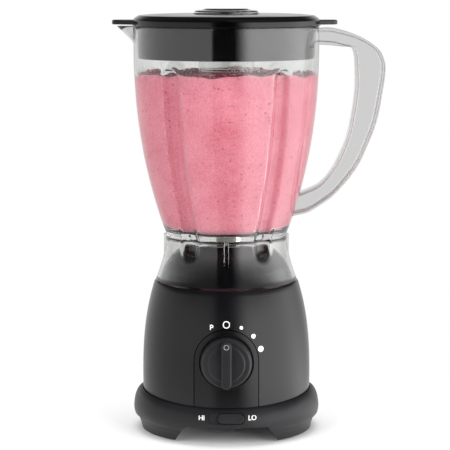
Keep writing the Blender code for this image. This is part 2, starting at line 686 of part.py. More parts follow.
def make_rubber_feet(materials, root):
    profile = [
        (0, 0),
        (RUBBER_FOOT_RADIUS - 1.0 * MM, 0),
        (RUBBER_FOOT_RADIUS, 0.8 * MM),
        (RUBBER_FOOT_RADIUS, RUBBER_FOOT_HEIGHT),
        (0, RUBBER_FOOT_HEIGHT),
    ]
    names = ("rear_right", "rear_left", "front_right", "front_left")
    for name, centre in zip(names, FOOT_CENTRES):
        x, y = around(FOOT_CIRCLE, centre)
        add_mesh(f"rubber_foot_{name}", turned(profile, 12), materials["rubber"], root, (x, y, 0))


def make_screw(name, materials, root, x, y, seat_z, length=SCREW_LENGTH):
    """A pan-head screw driven upwards, its head under seat_z."""
    profile = [
        (0, seat_z - SCREW_HEAD_HEIGHT),
        (SCREW_HEAD_RADIUS * 0.75, seat_z - SCREW_HEAD_HEIGHT),
        (SCREW_HEAD_RADIUS, seat_z - SCREW_HEAD_HEIGHT * 0.5),
        (SCREW_HEAD_RADIUS, seat_z),
        (SCREW_RADIUS, seat_z),
        (SCREW_RADIUS, seat_z + length - 1.0 * MM),
        (0, seat_z + length),
    ]
    return add_mesh(name, turned(profile, 8), materials["stainless_steel"], root, (x, y, 0))


def make_housing_screws(materials, root):
    names = ("rear_right", "rear_left", "front_right", "front_left")
    for name, centre in zip(names, SCREW_POST_CENTRES):
        x, y = around(SCREW_CIRCLE, centre)
        make_screw(f"cover_screw_{name}", materials, root, x, y, ARCH_TOP - GAP)
        x, y = around(MOUNT_SCREW_RADIUS, centre)
        seat = BRACKET_TOP_Z - BRACKET_PLATE - GAP
        make_screw(f"motor_screw_{name}", materials, root, x, y, seat, SCREW_LENGTH - 1.0 * MM)


# ---------------------------------------------------------------- controls


def panel_outline(shrink):
    """The arched control panel seen from the front, drawn as (x, z)."""
    half = PANEL_HALF_WIDTH - shrink
    foot = PANEL_FOOT_Z if shrink else -5.0 * MM
    return [(half, foot)] + arc((0, KNOB_Z), half, 0, 180, 18) + [(-half, foot)]


def boss_front():
    """How far in front of the drive axis the knob's flat boss ends."""
    return housing_radius(KNOB_Z) + KNOB_BOSS_PROUD


def make_control_panel(materials, root):
    """Arched panel that follows the housing's curve, with a flat boss behind the knob."""
    reach = math.degrees(math.asin(min(0.95, 1.25 * PANEL_HALF_WIDTH / HOUSING_RADIUS)))
    top = KNOB_Z + 1.2 * PANEL_HALF_WIDTH
    heights = [PANEL_FOOT_Z - 5.0 * MM, HOUSING_STRAIGHT_Z]
    heights += [HOUSING_STRAIGHT_Z + (top - HOUSING_STRAIGHT_Z) * share for share in (0.35, 0.6, 0.8, 1.0)]
    outside = [(housing_radius(z), z) for z in heights]
    inside = [(radius - HOUSING_WALL, z) for radius, z in reversed(outside)]
    bm = swept(columns([3.3], 7.5), lambda angle: outside + inside)
    beyond = [v for v in bm.verts if degrees_apart(math.degrees(math.atan2(v.co.y, v.co.x)), FRONT) > reach]
    bmesh.ops.delete(bm, geom=beyond, context="VERTS")
    bmesh.ops.holes_fill(bm, edges=bm.edges, sides=0)
    panel = add_mesh("control_panel", bm, materials["black_housing"], root)
    facing = (math.radians(90), 0, 0)
    boss = tube(0, KNOB_BOSS_RADIUS, housing_radius(KNOB_Z) - 0.6 * HOUSING_WALL, boss_front(), 32)
    for v in boss.verts:
        drop = housing_radius(KNOB_Z) - math.sqrt(HOUSING_RADIUS**2 - v.co.x**2)
        if v.co.z < housing_radius(KNOB_Z):
            v.co.z -= max(0.0, drop)
    boolean(panel, add_mesh("knob_boss", boss, materials["rubber"], root, (0, 0, KNOB_Z), facing), "UNION")
    arched = prism(panel_outline(PANEL_GAP), 0, 2 * HOUSING_RADIUS)
    outline = add_mesh("panel_outline", arched, materials["rubber"], root, (0, 0, 0), facing)
    boolean(panel, outline, "INTERSECT")
    hole = tube(0, SPINDLE_RADIUS + RUNNING_GAP + 0.4 * MM, 0, 2 * HOUSING_RADIUS, 20)
    boolean(panel, add_mesh("spindle_hole", hole, materials["rubber"], root, (0, 0, KNOB_Z), facing))
    return panel


def make_knob(materials, root):
    """Round speed knob with a full-width grip bar, its spindle, and the rotary switch behind the panel."""
    pivot = add_empty("speed_knob_pivot", (0, -boss_front(), KNOB_Z), root)
    facing = (math.radians(90), 0, 0)
    back = RUNNING_GAP
    face = back + KNOB_DISC
    bore = SPINDLE_RADIUS + GAP
    bore_end = face + 1.0 * MM
    ring_radius = 0.72 * KNOB_RADIUS
    profile = [
        (bore, back),
        (KNOB_RADIUS - 0.4 * MM, back),
        (KNOB_RADIUS, back + 1.0 * MM),
        (KNOB_RADIUS - 0.8 * MM, face - 1.4 * MM),
        (KNOB_RADIUS - 2.2 * MM, face),
        (ring_radius, face + 0.2 * MM),
        (ring_radius - 0.9 * MM, face + 1.0 * MM),
        (bore, face + 1.4 * MM),
    ]
    knob = add_mesh("speed_knob", turned(profile, 28), materials["black_control"], pivot, (0, 0, 0), facing)
    length = 2 * KNOB_RADIUS - 1.6 * MM
    bar = prism(stadium(length, KNOB_BAR_WIDTH, 4), back + 0.5 * KNOB_DISC, face + KNOB_BAR_HEIGHT)
    for v in bar.verts:
        if v.co.z > face:
            v.co.x *= 0.93
            v.co.y *= 0.82
    bar = turned_about_z(bar, 90.0)
    boolean(knob, add_mesh("grip_bar", bar, materials["rubber"], pivot, (0, 0, 0), facing), "UNION")
    core = tube(0, bore, -1.0 * MM, bore_end, 16)
    boolean(knob, add_mesh("knob_bore", core, materials["rubber"], pivot, (0, 0, 0), facing))
    switch_depth = 22.0 * MM
    half_width, half_height = 15.0 * MM, 13.0 * MM
    curve_back = HOUSING_RADIUS - math.sqrt(HOUSING_RADIUS**2 - half_width**2)
    taper_back = housing_radius(KNOB_Z) - housing_radius(KNOB_Z + half_height)
    switch_front = HOUSING_WALL + KNOB_BOSS_PROUD + curve_back + taper_back + 0.7 * MM
    spindle = tube(0, SPINDLE_RADIUS, -switch_front - 0.7 * switch_depth, bore_end - GAP, 16)
    add_mesh("knob_spindle", spindle, materials["stainless_steel"], pivot, (0, 0, 0), facing)
    body = block(
        (-half_width, -half_height, -switch_front - switch_depth), (half_width, half_height, -switch_front)
    )
    centre = (0, -boss_front(), KNOB_Z)
    switch = add_mesh("rotary_switch_body", body, materials["grey_plastic"], root, centre, facing)
    well = tube(0, SPINDLE_RADIUS + RUNNING_GAP, -switch_front - 0.8 * switch_depth, 0, 16)
    boolean(switch, add_mesh("switch_bore", well, materials["rubber"], root, centre, facing))


def switch_matrix():
    """Frame of the range switch on the ring's front: X along the travel, Y up the face, Z outwards."""
    lip_z = ring_lip_z(FRONT)
    share = math.acos((WINDOW_Z - RING_BULGE_Z) / (lip_z - RING_BULGE_Z)) / (math.pi / 2)
    radius, z = ring_point(share, lip_z)
    ahead, ahead_z = ring_point(share + 0.01, lip_z)
    tilt = math.atan2(ahead - radius, z - ahead_z)
    return Matrix.Translation((0, -radius, z)) @ Matrix.Rotation(math.radians(90) - tilt, 4, "X")


def place_on_switch(obj):
    obj.matrix_local = switch_matrix()
    return obj


def switch_body_size():
    return Vector((WINDOW_WIDTH + 3.0 * MM, WINDOW_HEIGHT + 1.4 * MM, 7.0 * MM))


def make_range_switch(materials, root):
    """High and low range switch: a thumb piece in the ring's window and the switch it slides in."""
    size = switch_body_size()
    face = SWITCH_FACE
    body = block((-size.x / 2, -size.y / 2, face - size.z), (size.x / 2, size.y / 2, face))
    switch = place_on_switch(add_mesh("range_switch_body", body, materials["grey_plastic"], root))
    thumb_length = WINDOW_WIDTH - SLIDER_TRAVEL - 2 * RUNNING_GAP
    middle = (WINDOW_WIDTH - thumb_length) / 2 - RUNNING_GAP
    stem = Vector((5.0, 3.0, 4.0)) * MM
    half_x, half_y = stem.x / 2 + RUNNING_GAP, stem.y / 2 + RUNNING_GAP
    slot = block(
        (middle - SLIDER_TRAVEL - half_x, -half_y, face - stem.z - 1.0 * MM),
        (middle + half_x, half_y, face + 1.0 * MM),
    )
    boolean(switch, place_on_switch(add_mesh("stem_slot", slot, materials["rubber"], root)))
    outline = stadium(thumb_length, WINDOW_HEIGHT - 2 * RUNNING_GAP, 6)
    back = face + GAP
    thumb = prism(outline, back, -0.4 * MM)
    for v in thumb.verts:
        if v.co.z > back:
            v.co.x *= 0.97
            v.co.y *= 0.92
    bmesh.ops.translate(thumb, verts=thumb.verts, vec=(middle, 0, 0))
    slider = place_on_switch(add_mesh("range_slider", thumb, materials["black_control"], root))
    leg = block(
        (middle - stem.x / 2, -stem.y / 2, face - stem.z), (middle + stem.x / 2, stem.y / 2, back + 0.5 * MM)
    )
    boolean(slider, place_on_switch(add_mesh("slider_stem", leg, materials["rubber"], root)), "UNION")


# ---------------------------------------------------------------- motor


def make_stator(materials, root):
    """Laminated core with its bore, winding slots and bolt holes, and the two field coils."""
    half_x, half_y, chamfer = STATOR_LENGTH / 2, STATOR_WIDTH / 2, 8.0 * MM
    corner = [(half_x, half_y - chamfer), (half_x - chamfer, half_y)]
    outline = corner + [(-x, y) for x, y in reversed(corner)]
    outline += [(-x, -y) for x, y in corner] + [(x, -y) for x, y in reversed(corner)]
    core = add_mesh("stator_core", prism(outline, STACK_Z, STACK_TOP_Z), materials["lamination_steel"], root)
    bore = tube(0, ARMATURE_RADIUS + AIR_GAP, 0, 2 * STACK_TOP_Z, 28)
    boolean(core, add_mesh("stator_bore", bore, materials["rubber"], root))
    low, high = COIL_LEG_ANGLES
    slot = sector(COIL_INNER_RADIUS - GAP, COIL_OUTER_RADIUS + GAP, low - 1.0, high + 1.0, 3)
    holes = [(tube(0, SCREW_RADIUS + GAP, 0, 2 * STACK_TOP_Z, 8), (side * BOLT_X, 0, 0)) for side in (-1, 1)]
    for flip_x, flip_y in ((1, 1), (-1, 1), (1, -1), (-1, -1)):
        holes.append((prism([(flip_x * x, flip_y * y) for x, y in slot], 0, 2 * STACK_TOP_Z), (0, 0, 0)))
    boolean(core, add_mesh("core_slots", merged(holes), materials["rubber"], root))
    for name, flip in (("rear", 1), ("front", -1)):
        ring = sector(COIL_INNER_RADIUS, COIL_OUTER_RADIUS, low, 180.0 - low, 10)
        solid = prism([(x, flip * y) for x, y in ring], STACK_Z - COIL_OVERHANG, STACK_TOP_Z + COIL_OVERHANG)
        coil = add_mesh(f"field_coil_{name}", solid, materials["copper_winding"], root)
        pole = sector(COIL_INNER_RADIUS - 2 * MM, COIL_OUTER_RADIUS + 2 * MM, high, 180.0 - high, 8)
        window = prism([(x, flip * y) for x, y in pole], STACK_Z - GAP, STACK_TOP_Z + GAP)
        boolean(coil, add_mesh(f"pole_window_{name}", window, materials["rubber"], root))


def bracket_profile(plate_low, plate_high):
    """A round end plate with a cup for its bearing in the middle."""
    cup_inner = BEARING_RADIUS + GAP
    cup_outer = cup_inner + 3.0 * MM
    middle = (plate_low + plate_high) / 2
    cup_low, cup_high = middle - BEARING_HEIGHT / 2 - 1.0 * MM, middle + BEARING_HEIGHT / 2 + 1.0 * MM
    lip = SHAFT_RADIUS + 1.0 * MM
    return [
        (lip, cup_low),
        (cup_outer, cup_low),
        (cup_outer, plate_low),
        (BRACKET_RADIUS, plate_low),
        (BRACKET_RADIUS, plate_high),
        (cup_outer, plate_high),
        (cup_outer, cup_high),
        (cup_inner, cup_high),
        (cup_inner, cup_low + 1.0 * MM),
        (lip, cup_low + 1.0 * MM),
    ]


def make_motor_frame(materials, root):
    """End plates, sleeve bearings, through bolts, and the brush gear on the lower plate."""
    upper = (BRACKET_TOP_Z - BRACKET_PLATE, BRACKET_TOP_Z)
    lower = (LOWER_BRACKET_Z, LOWER_BRACKET_Z + BRACKET_PLATE)
    for name, (low, high) in (("upper", upper), ("lower", lower)):
        profile = bracket_profile(low, high)
        bracket = add_mesh(f"{name}_bracket", turned(profile, 24), materials["lamination_steel"], root)
        places = [((side * BOLT_X, 0, 0), SCREW_RADIUS) for side in (-1, 1)]
        screws = name == "upper"
        circle, radius = (MOUNT_SCREW_RADIUS, SCREW_RADIUS) if screws else (0.68 * BRACKET_RADIUS, 5.0 * MM)
        places += [((*around(circle, centre), 0), radius) for centre in SCREW_POST_CENTRES]
        holes = merged([(tube(0, size + GAP, 0, 2 * BRACKET_TOP_Z, 8), place) for place, size in places])
        boolean(bracket, add_mesh(f"{name}_bracket_holes", holes, materials["rubber"], root))
        bearing_low = (low + high - BEARING_HEIGHT) / 2
        bearing_high = bearing_low + BEARING_HEIGHT
        bearing = tube(SHAFT_RADIUS + GAP, BEARING_RADIUS, bearing_low + GAP, bearing_high, 16)
        add_mesh(f"{name}_bearing", bearing, materials["bearing_bronze"], root)
        if name == "upper":
            spacer_low, spacer_high = STACK_TOP_Z + GAP, low - GAP
        else:
            spacer_low, spacer_high = high + GAP, STACK_Z - GAP
        for side_name, side in (("left", -1), ("right", 1)):
            spacer = tube(SCREW_RADIUS + GAP, 3.4 * MM, spacer_low, spacer_high, 8)
            title = f"{name}_spacer_{side_name}"
            add_mesh(title, spacer, materials["stainless_steel"], root, (side * BOLT_X, 0, 0))
    for side_name, side in (("left", -1), ("right", 1)):
        length = upper[1] - lower[0] + 3.0 * MM
        title = f"through_bolt_{side_name}"
        make_screw(title, materials, root, side * BOLT_X, 0, lower[0] - GAP, length)


def make_brushes(materials, root):
    """Two brush holders on the lower plate, each with the carbon brush that rides on the commutator."""
    seat = LOWER_BRACKET_Z + BRACKET_PLATE + GAP
    centre_z = COMMUTATOR_Z + 6.0 * MM
    half, hole = 4.5 * MM, 2.6 * MM
    start = COMMUTATOR_RADIUS + 2.0 * MM
    end = BRACKET_RADIUS - 3.0 * MM
    for name, side in (("front", -1), ("rear", 1)):
        low_y, high_y = sorted((side * start, side * end))
        holder_body = block((-half, low_y, seat), (half, high_y, centre_z + half))
        holder = add_mesh(f"brush_holder_{name}", holder_body, materials["nylon"], root)
        low_y, high_y = sorted((0.0, side * (end + 5 * MM)))
        tool = block((-hole, low_y, centre_z - hole), (hole, high_y, centre_z + hole))
        boolean(holder, add_mesh(f"brush_channel_{name}", tool, materials["rubber"], root))
        low_y, high_y = sorted((side * (COMMUTATOR_RADIUS + GAP), side * (start + 9.0 * MM)))
        reach = hole - GAP
        brush = block((-reach, low_y, centre_z - reach), (reach, high_y, centre_z + reach))
        add_mesh(f"carbon_brush_{name}", brush, materials["carbon"], root)


def make_rotor(materials, root):
    """Everything that turns with the motor shaft, up to the coupling in the dome's well."""
    pivot = add_empty("rotor_pivot", (0, 0, 0), root)
    bore = SHAFT_RADIUS + GAP
    shaft_top = COUPLING_Z + 8.0 * MM
    shaft = tube(0, SHAFT_RADIUS, FAN_Z - 2.0 * MM, shaft_top, 16)
    add_mesh("motor_shaft", shaft, materials["stainless_steel"], pivot)
    core = prism(toothed(ARMATURE_RADIUS - 4.0 * MM, ARMATURE_RADIUS, 10, 0.75), STACK_Z, STACK_TOP_Z)
    armature = add_mesh("armature_core", core, materials["lamination_steel"], pivot)
    hole = tube(0, bore, 0, 2 * STACK_TOP_Z, 16)
    boolean(armature, add_mesh("armature_bore", hole, materials["rubber"], pivot))
    for name, low, high in (
        ("lower", STACK_Z - COIL_OVERHANG + 1.0 * MM, STACK_Z - GAP),
        ("upper", STACK_TOP_Z + GAP, STACK_TOP_Z + COIL_OVERHANG - 1.0 * MM),
    ):
        outer = ARMATURE_RADIUS - 2.0 * MM
        far, near = (low, high) if name == "lower" else (high, low)
        bend = (outer, (2 * near + far) / 3)
        profile = [(bore, near), (outer, near), bend, (outer * 0.72, far), (bore, far)]
        add_mesh(f"armature_winding_{name}", turned(profile, 20), materials["copper_winding"], pivot)
    commutator = tube(bore, COMMUTATOR_RADIUS, COMMUTATOR_Z, COMMUTATOR_Z + 12.0 * MM, 24)
    add_mesh("commutator", commutator, materials["copper_winding"], pivot)
    make_fan(materials, pivot, bore)
    flange = [
        (bore, COUPLING_Z),
        (COUPLING_RADIUS + 3.5 * MM, COUPLING_Z),
        (COUPLING_RADIUS + 3.5 * MM, COUPLING_Z + 1.8 * MM),
        (bore, COUPLING_Z + 1.8 * MM),
    ]
    coupling = add_mesh("drive_coupling", turned(flange, 24), materials["nylon"], pivot)
    post = prism(star(), COUPLING_Z + 0.5 * MM, COUPLING_TOP_Z)
    boolean(coupling, add_mesh("coupling_post", post, materials["rubber"], pivot), "UNION")
    hole = tube(0, bore, 0, shaft_top + GAP, 16)
    boolean(coupling, add_mesh("coupling_bore", hole, materials["rubber"], pivot))
    slinger = tube(SHAFT_RADIUS + GAP, SHAFT_RADIUS + 6.0 * MM, WELL_FLOOR_Z + GAP, COUPLING_Z - GAP, 20)
    add_mesh("splash_washer", slinger, materials["rubber"], pivot)


def make_fan(materials, pivot, bore):
    """Radial cooling fan: a hub and disc with eight straight blades."""
    hub = [
        (bore, FAN_Z),
        (FAN_RADIUS, FAN_Z),
        (FAN_RADIUS, FAN_Z + 1.5 * MM),
        (8.0 * MM, FAN_Z + 1.5 * MM),
        (8.0 * MM, FAN_Z + 9.0 * MM),
        (bore, FAN_Z + 9.0 * MM),
    ]
    fan = add_mesh("cooling_fan", turned(hub, 20), materials["grey_plastic"], pivot)
    blades = []
    for i in range(8):
        tip = (FAN_RADIUS - 1.0 * MM, 0.7 * MM, FAN_Z + 8.0 * MM)
        blade = block((7.0 * MM, -0.7 * MM, FAN_Z + 1.0 * MM), tip)
        blades.append((turned_about_z(blade, 360.0 / 8 * i), (0, 0, 0)))
    boolean(fan, add_mesh("fan_blades", merged(blades), materials["rubber"], pivot), "UNION")


# ---------------------------------------------------------------- jar, cutter and lid


def make_jar(materials, parent):
    """Clear moulded jar: fluted cup, pouring lip, floor, skirt with key ribs, and the handle."""

    def section(angle):
        heights = [FLUTE_TOP_Z - drop * MM for drop in (0.0, 4.5, 10.0, 28.0)]
        span = heights[-1] - FLOOR_Z
        heights += [FLOOR_Z + span * share for share in (0.75, 0.52, 0.32, 0.15, 0.04)]
        flute_end = [FLUTE_END_Z + 5.0 * MM, FLUTE_END_Z, FLUTE_END_Z - 8.0 * MM]
        skirt = [FLOOR_UNDER_Z - 6.0 * MM, *flute_end, SKIRT_Z]
        lip = [RIM_Z, RIM_Z - SPOUT_HEIGHT]
        points = [(jar_outside(angle, z), z) for z in lip + heights + skirt]
        inner_skirt = [SKIRT_Z, FLUTE_END_Z - 8.0 * MM, FLUTE_END_Z, FLUTE_END_Z + 6.0 * MM, FLOOR_UNDER_Z]
        points += [(jar_outside(angle, z) - JAR_WALL, z) for z in inner_skirt]
        points += [(HUB_HOLE_RADIUS, FLOOR_UNDER_Z), (HUB_HOLE_RADIUS, FLOOR_Z)]
        corner = jar_outside(angle, FLOOR_Z + 4.0 * MM) - JAR_WALL
        points += [(corner - 4.0 * MM, FLOOR_Z), (corner - 1.0 * MM, FLOOR_Z + 1.3 * MM)]
        inside = [FLOOR_Z + 5.0 * MM] + heights[-2::-1] + lip[::-1]
        return points + [(jar_outside(angle, z) - JAR_WALL, z) for z in inside]

    wanted = [centre + step for centre in FLUTE_CENTRES for step in (-9.6, -4.4, 0.0, 4.4, 9.6)]
    wanted += [SPOUT_CENTRE + share * SPOUT_HALF_ANGLE for share in (-1.0, 0.0, 1.0)]
    jar = add_mesh("jar", swept(columns(wanted, 11.0), section), materials["clear_plastic"], parent)
    outer = jar_profile(KEY_END_Z) - 0.5 * JAR_WALL
    ribs = four_keys(KEY_RADIUS, outer, KEY_WIDTH / 2, KEY_END_Z, FLOOR_UNDER_Z + 0.5 * FLOOR_THICKNESS)
    boolean(jar, add_mesh("key_ribs", ribs, materials["rubber"], parent), "UNION")
    boolean(jar, add_mesh("handle_beam", handle_beam(), materials["rubber"], parent), "UNION")
    return jar


def handle_edges():
    """Outer and inner edge of the handle in the XZ plane, from the rim down to the cup's lower wall.
    Each point is millimetres past the rim's radius, and millimetres below the rim."""
    outer_offsets = [
        (12.7, 1.9), (34.5, 8.8), (50.3, 19.2), (56.5, 29.7), (57.6, 40.1), (55.0, 56.0), (50.1, 82.0),
        (42.4, 103.1), (32.1, 124.3), (14.7, 145.5), (0.7, 156.1), (-10.5, 162.5),
    ]
    inner_offsets = [
        (9.3, 16.6), (18.0, 17.5), (26.8, 18.4), (30.0, 23.5), (31.2, 34.9), (31.4, 55.8), (29.0, 75.0),
        (24.5, 96.5), (16.5, 116.0), (8.3, 129.9), (-0.5, 138.6), (-9.5, 143.0),
    ]
    outer = [(JAR_RIM_RADIUS + x * MM, RIM_Z - drop * MM) for x, drop in outer_offsets]
    inner = [(JAR_RIM_RADIUS + x * MM, RIM_Z - drop * MM) for x, drop in inner_offsets]
    root = 0.6 * JAR_WALL
    outer.insert(0, (JAR_RIM_RADIUS - root, RIM_Z - 1.7 * MM))
    inner.insert(0, (JAR_RIM_RADIUS - root, RIM_Z - 16.0 * MM))
    for edge, drop in ((outer, 165.5 * MM), (inner, 146.5 * MM)):
        edge.append((jar_profile(RIM_Z - drop) - root, RIM_Z - drop))
    return curve_through(outer, HANDLE_STATIONS), curve_through(inner, HANDLE_STATIONS)


def handle_beam():
    """The handle as an I-beam: a wide outer flange, a narrower inner one and a thin web."""
    bm = bmesh.new()
    rings = []
    for outer, inner in zip(*handle_edges()):
        depth = (inner - outer).length
        near, far = HANDLE_FLANGE / depth, 1.0 - HANDLE_FLANGE / depth
        wide, narrow, web = HANDLE_OUTER_WIDTH / 2, HANDLE_INNER_WIDTH / 2, HANDLE_WEB / 2
        half = [(0.0, wide), (near, wide), (near, web), (far, web), (far, narrow), (1.0, narrow)]
        ring = []
        for share, side in half + [(share, -side) for share, side in reversed(half)]:
            point = outer.lerp(inner, share)
            ring.append(bm.verts.new((point.x, side, point.y)))
        rings.append(ring)
    for ring, following in zip(rings, rings[1:]):
        for i in range(len(ring)):
            j = (i + 1) % len(ring)
            bm.faces.new((ring[i], ring[j], following[j], following[i]))
    bm.faces.new(rings[0])
    bm.faces.new(rings[-1])
    return bm


def make_cutter(materials, jar_group):
    """Sealed cutter: hub, gasket and nut fixed in the floor, and the shaft with blades and socket."""
    bore = CUTTER_SHAFT_RADIUS + GAP
    stem = HUB_HOLE_RADIUS - GAP
    gasket_z = FLOOR_Z + GAP
    hub_z = gasket_z + 1.4 * MM + GAP
    hub_top = hub_z + 10.0 * MM
    hub = [
        (bore, HUB_FOOT_Z),
        (stem, HUB_FOOT_Z),
        (stem, hub_z),
        (stem + 8.5 * MM, hub_z),
        (stem + 8.5 * MM, hub_z + 2.0 * MM),
        (stem + 2.0 * MM, hub_z + 3.4 * MM),
        (stem, hub_top),
        (bore, hub_top),
    ]
    add_mesh("cutter_hub", turned(hub, 24), materials["nylon"], jar_group)
    gasket = tube(HUB_HOLE_RADIUS, stem + 8.0 * MM, gasket_z, gasket_z + 1.4 * MM, 24)
    add_mesh("cutter_gasket", gasket, materials["rubber"], jar_group)
    hexagon = [around(HUB_HOLE_RADIUS + 7.0 * MM, 60 * i) for i in range(6)]
    nut = prism(hexagon, NUT_Z, NUT_TOP_Z)
    nut = add_mesh("cutter_nut", nut, materials["stainless_steel"], jar_group)
    thread = tube(0, HUB_HOLE_RADIUS, 0, 2 * NUT_TOP_Z, 24)
    boolean(nut, add_mesh("nut_thread", thread, materials["rubber"], jar_group))

    pivot = add_empty("cutter_pivot", (0, 0, 0), jar_group)
    socket_low = COUPLING_Z + 2.8 * MM
    lower_z = hub_top + 1.5 * MM
    upper_z = lower_z + BLADE_THICKNESS + GAP
    nut_z = upper_z + BLADE_THICKNESS + GAP
    shaft = tube(0, CUTTER_SHAFT_RADIUS, SOCKET_CEILING_Z + 0.6 * MM, nut_z + 2.0 * MM, 16)
    add_mesh("cutter_shaft", shaft, materials["stainless_steel"], pivot)
    socket = add_mesh(
        "driven_socket", tube(0, SOCKET_RADIUS, socket_low, SOCKET_TOP_Z, 24), materials["nylon"], pivot
    )
    cavity = prism(star(RUNNING_GAP), 0, SOCKET_CEILING_Z)
    boolean(socket, add_mesh("socket_cavity", cavity, materials["rubber"], pivot))
    hole = tube(0, bore, SOCKET_CEILING_Z - 0.5 * MM, 2 * SOCKET_TOP_Z, 16)
    boolean(socket, add_mesh("socket_bore", hole, materials["rubber"], pivot))
    spacer = tube(bore, CUTTER_SHAFT_RADIUS + 2.4 * MM, hub_top + GAP, lower_z - GAP, 20)
    add_mesh("blade_spacer", spacer, materials["stainless_steel"], pivot)
    make_blade("lower_blade", materials, pivot, lower_z, bend=-0.22, turn=90.0, bore=bore)
    make_blade("upper_blade", materials, pivot, upper_z, bend=0.62, turn=0.0, bore=bore)
    dome = [
        (0, nut_z + 2.0 * MM + GAP),
        (bore, nut_z + 2.0 * MM + GAP),
        (bore, nut_z),
        (CUTTER_SHAFT_RADIUS + 2.6 * MM, nut_z),
        (CUTTER_SHAFT_RADIUS + 2.6 * MM, nut_z + 2.6 * MM),
        (CUTTER_SHAFT_RADIUS, nut_z + 4.6 * MM),
        (0, nut_z + 5.4 * MM),
    ]
    add_mesh("blade_cap_nut", turned(dome, 16), materials["stainless_steel"], pivot)


def make_blade(name, materials, pivot, z, bend, turn, bore):
    """A two-armed blade: flat in the middle, its arms bent up or down, narrowing to slanted tips."""
    flat = 0.42 * BLADE_RADIUS
    bm = bmesh.new()
    rings = []
    for reach in (-1.0, -0.72, -0.42, 0.0, 0.42, 0.72, 1.0):
        x = reach * BLADE_RADIUS
        rise = z + bend * max(0.0, abs(x) - flat)
        half = BLADE_WIDTH / 2 * (1.0 - 0.55 * max(0.0, abs(reach) - 0.42))
        sweep = math.copysign(0.25 * BLADE_WIDTH * max(0.0, abs(reach) - 0.42), x)
        corners = ((-half, 0), (half, 0), (half, BLADE_THICKNESS), (-half, BLADE_THICKNESS))
        rings.append([bm.verts.new((x, y + sweep, rise + up)) for y, up in corners])
    for ring, following in zip(rings, rings[1:]):
        for i in range(4):
            j = (i + 1) % 4
            bm.faces.new((ring[i], ring[j], following[j], following[i]))
    bm.faces.new(rings[0])
    bm.faces.new(rings[-1])
    blade = add_mesh(name, bm, materials["stainless_steel"], pivot)
    blade.rotation_euler.z = math.radians(turn)
    hole = tube(0, bore, 0, 2 * z, 16)
    boolean(blade, add_mesh(name + "_hole", hole, materials["rubber"], pivot))


def make_lid(materials, parent):
    """Lid: plug skirt, a collar for the filler cap, a tab over the spout and a tab to lift it by."""
    seat_radius = CAP_RADIUS + 1.2 * MM
    collar_inner = CAP_CUP_RADIUS + RUNNING_GAP
    collar_outer = collar_inner + LID_WALL
    skirt_top = JAR_RIM_RADIUS - JAR_WALL - LID_SKIRT_CLEARANCE
    skirt_foot = skirt_top - LID_SKIRT_TAPER
    foot_z = LID_SEAT_Z - LID_SKIRT_DEPTH
    flange_top = LID_SEAT_Z + LID_FLANGE
    under = flange_top - LID_WALL
    profile = [
        (LID_RADIUS - 0.3 * MM, LID_SEAT_Z),
        (LID_RADIUS, LID_SEAT_Z + 1.5 * MM),
        (LID_RADIUS - 0.3 * MM, flange_top - 1.5 * MM),
        (LID_RADIUS - 2.2 * MM, flange_top + 0.1 * LID_DOME),
        (LID_RADIUS - 5.5 * MM, flange_top + 0.65 * LID_DOME),
        (LID_RADIUS - 14.0 * MM, flange_top + 0.85 * LID_DOME),
        (LID_RADIUS - 24.0 * MM, LID_TOP_Z - 0.2 * MM),
        (seat_radius + 0.8 * MM, LID_TOP_Z),
        (seat_radius, CAP_SEAT_Z),
        (collar_inner, CAP_SEAT_Z),
        (collar_inner, CAP_SEAT_Z - CAP_COLLAR),
        (collar_outer, CAP_SEAT_Z - CAP_COLLAR),
        (collar_outer, under),
        (LID_RADIUS - 14.0 * MM, under),
        (skirt_top - LID_WALL, under - 1.5 * MM),
        (skirt_foot - LID_WALL, foot_z),
        (skirt_foot, foot_z),
        (skirt_top, LID_SEAT_Z),
    ]
    lid = add_mesh("lid", turned(profile, 38), materials["black_lid"], parent)
    tab_low = LID_SEAT_Z + 1.0 * MM
    inboard = LID_RADIUS - 4.0 * MM
    for name, side, reach, root_half, tip_half in (
        ("spout_tab", -1, SPOUT_TAB_REACH, 20.0 * MM, 9.0 * MM),
        ("lift_tab", 1, LIFT_TAB_REACH, 15.0 * MM, 11.0 * MM),
    ):
        tip = JAR_RIM_RADIUS + reach - tip_half * 0.5
        turns = (-1.5, -0.9, -0.3, 0.3, 0.9, 1.5)
        end = [(tip + tip_half * 0.5 * math.cos(turn), tip_half * math.sin(turn)) for turn in turns]
        outline = [(inboard, -root_half)] + end + [(inboard, root_half)]
        tab = prism([(side * x, y) for x, y in outline], tab_low, tab_low + LID_TAB)
        boolean(lid, add_mesh(name, tab, materials["rubber"], parent), "UNION")
    return lid


def make_filler_cap(materials, parent):
    """Clear measuring cap: a disc that sits in the lid and a cup that hangs open end down."""
    low = CAP_SEAT_Z + GAP
    top = low + CAP_HEIGHT
    inner = CAP_CUP_RADIUS - CAP_CUP_WALL
    profile = [
        (0, top),
        (CAP_RADIUS * 0.66, top),
        (CAP_RADIUS * 0.76, top - 1.1 * MM),
        (CAP_RADIUS - 1.0 * MM, top - 1.7 * MM),
        (CAP_RADIUS, top - 2.6 * MM),
        (CAP_RADIUS, low),
        (CAP_CUP_RADIUS, low),
        (CAP_CUP_RADIUS - 0.3 * MM, low - CAP_CUP_DEPTH),
        (inner - 0.3 * MM, low - CAP_CUP_DEPTH),
        (inner, top - 3.6 * MM),
        (0, top - 3.4 * MM),
    ]
    return add_mesh("filler_cap", turned(profile, 28), materials["clear_plastic"], parent)


# ---------------------------------------------------------------- assembly


